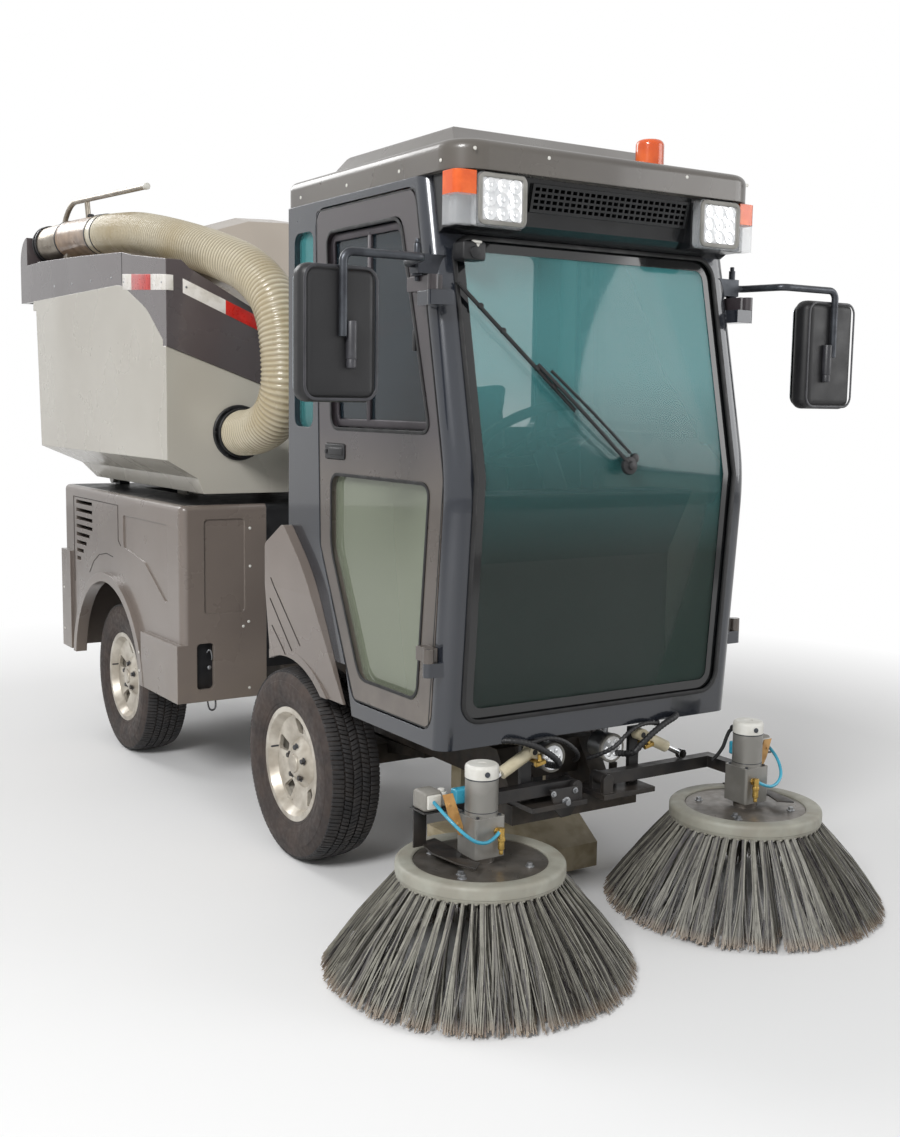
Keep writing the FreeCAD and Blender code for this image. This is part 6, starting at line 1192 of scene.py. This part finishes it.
def make_front_gear():
    """Under the cab: the round work lamps' rims and lenses, ribbed conduits, a bolted plate, and the water tees."""
    rims, lenses, conduit = bmesh.new(), bmesh.new(), bmesh.new()
    for side in SIDES.values():
        place = facing((side * 105, -1366, 456), (0, -1, 0))
        ring(rims, 41.5, 35, -8, 5, place, 2)
        turned(lenses, ((36, 0.5), (34, 3.5), (20, 1.2), (6, 1.0), (5, 3.6), (0, 4)), place, 40)
        for k in range(6):
            angle = k * math.pi / 3
            spot = (side * 105 + 21 * math.cos(angle), -1367.2, 456 + 21 * math.sin(angle))
            rivet(lenses, spot, (0, -1, 0), 6.5, 4)
        for line, waves, sides in (
                (((318, -1380, 530), (300, -1432, 546), (214, -1440, 520), (142, -1440, 472), (126, -1430, 446),
                  (122, -1352, 438)), (8.2, 9.4), 12),
                (((250, -1376, 530), (236, -1424, 520), (176, -1430, 536), (112, -1432, 520), (52, -1430, 466),
                  (24, -1360, 436)), (5.4, 6.4), 10)):
            sleeve(conduit, curved(sided(side, line), 3), lambda number: waves[number // 2 % 2], sides)
    keep(rims, "work_lamp_rims", polypropylene_grey, "chassis")
    keep(lenses, "work_lamp_lenses", reflector, "chassis")
    keep(conduit, "ribbed_conduits", abs_black, "chassis", sharp=180)
    plates = bmesh.new()
    plate(plates, ((-150, 384), (-56, 384), (-56, 334), (-78, 304), (-112, 302), (-134, 326)), 6,
          FRONT @ Matrix.Translation((0, 0, 1416 * MM)), 1)
    keep(plates, "centre_plate", powder_black, "brush_bracket_right")
    heads = bmesh.new()
    for x, z, across, height in ((-96, 344, 17, 9), (-140, 372, 10, 6), (-66, 372, 10, 6)):
        bolt(heads, (x, -1422, z), (0, -1, 0), across, height)
    keep(heads, "centre_bolts", steel_zinc, "brush_bracket_right", edge=0.5)
    tees = bmesh.new()
    for side in SIDES.values():
        at = (side * 190, -1424, 466)
        plug(tees, 9, -16, 16, facing(at, (1, 0, 0.2)), 2, 6)
        plug(tees, 6, 0, 24, facing(at, (0, 0.1, 1)), 2, 16)
        plug(tees, 7, 0, 40, facing(at, (0, 1, 0)), 2, 12)
    keep(tees, "water_tees", brass, "chassis")


# Seat, in metres: how far a pad starts inside its space, how far the air moves it, and its mesh
PAD_SHRINK, PAD_TRAVEL = 0.012, 0.026
PAD_MESH = 0.008


def make_seat():
    """The driver's seat: each separate solid of the cushion becomes a pad, inflated as cloth in its own space."""
    solids = mesh_of("seat_cushion")
    islands, left = [], set(solids.verts)
    while left:
        grown, edge = set(), {left.pop()}
        while edge:
            grown |= edge
            edge = {e.other_vert(v) for v in edge for e in v.link_edges} - grown
        left -= grown
        islands.append([v.index for v in grown])
    solids.free()
    for number, island in enumerate(sorted(islands, key=len)):
        make_pad(number, set(island))


def make_pad(number, island):
    """One pad, shrunk a little, remeshed and blown up by cloth pressure with its travel capped."""
    mesh = mesh_of("seat_cushion")
    bmesh.ops.delete(mesh, geom=[v for v in mesh.verts if v.index not in island], context="VERTS")
    low = Vector([min(v.co[i] for v in mesh.verts) for i in range(3)])
    high = Vector([max(v.co[i] for v in mesh.verts) for i in range(3)])
    centre, size = (low + high) / 2, high - low
    for v in mesh.verts:
        v.co = centre + Vector([(v.co[i] - centre[i]) * (1 - 2 * PAD_SHRINK / size[i]) for i in range(3)])
    pad = stood_up(mesh, f"seat_pad_{number}")
    bpy.context.view_layer.objects.active = pad
    remesh = pad.modifiers.new("even", "REMESH")
    remesh.mode = "VOXEL"
    remesh.voxel_size = PAD_MESH
    pad.data = bpy.data.meshes.new_from_object(pad.evaluated_get(bpy.context.evaluated_depsgraph_get()))
    pad.modifiers.clear()
    rest = [v.co.copy() for v in pad.data.vertices]
    cloth = pad.modifiers.new("air", "CLOTH")
    cloth.settings.use_pressure = True
    cloth.settings.uniform_pressure_force = 4
    cloth.settings.effector_weights.gravity = 0
    for step in range(1, 21):
        scene.frame_set(step)
    grown = pad.evaluated_get(bpy.context.evaluated_depsgraph_get()).to_mesh()
    moved = [v.co.copy() for v in grown.vertices]
    pad.modifiers.clear()
    for v, old, new in zip(pad.data.vertices, rest, moved):
        way = new - old
        way.length = min(way.length, PAD_TRAVEL)
        spot = old + way
        v.co = [min(max(spot[i], low[i]), high[i]) for i in range(3)]
    scene.frame_set(1)
    for face in pad.data.polygons:
        face.use_smooth = True
    pad.data.materials.clear()
    pad.data.materials.append(vinyl_black)
    round_off = pad.modifiers.new("soft", "SUBSURF")
    round_off.levels = round_off.render_levels = 1
    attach(pad, "chassis")
    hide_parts("seat_cushion")


scene.view_settings.view_transform = "Standard"
set_camera()
light_studio()
make_floor()
dress_nodes()
for word, side in SIDES.items():
    make_bristles(word)
    make_brush_head(word)
    make_brush_fittings(word, side)
    for row in ("front", "rear"):
        make_tyre(row, word)
        make_wheel_details(row, word, side)
    make_door_trim(word, side)
    make_mirror(word, side)
    make_headlamp(word, side)
    make_side_details(word, side)
    make_fender_lines(word, side, tree_of("front_fenders"))
make_front_gear()
make_hose()
make_pipe_dress()
make_hopper_coats()
make_reflective_strips()
make_lid_seams()
make_hopper_door_trim()
make_windscreen_trim()
make_wiper()
make_roof_fasteners()
coat_lamps()
coat_mirrors()
make_seat()
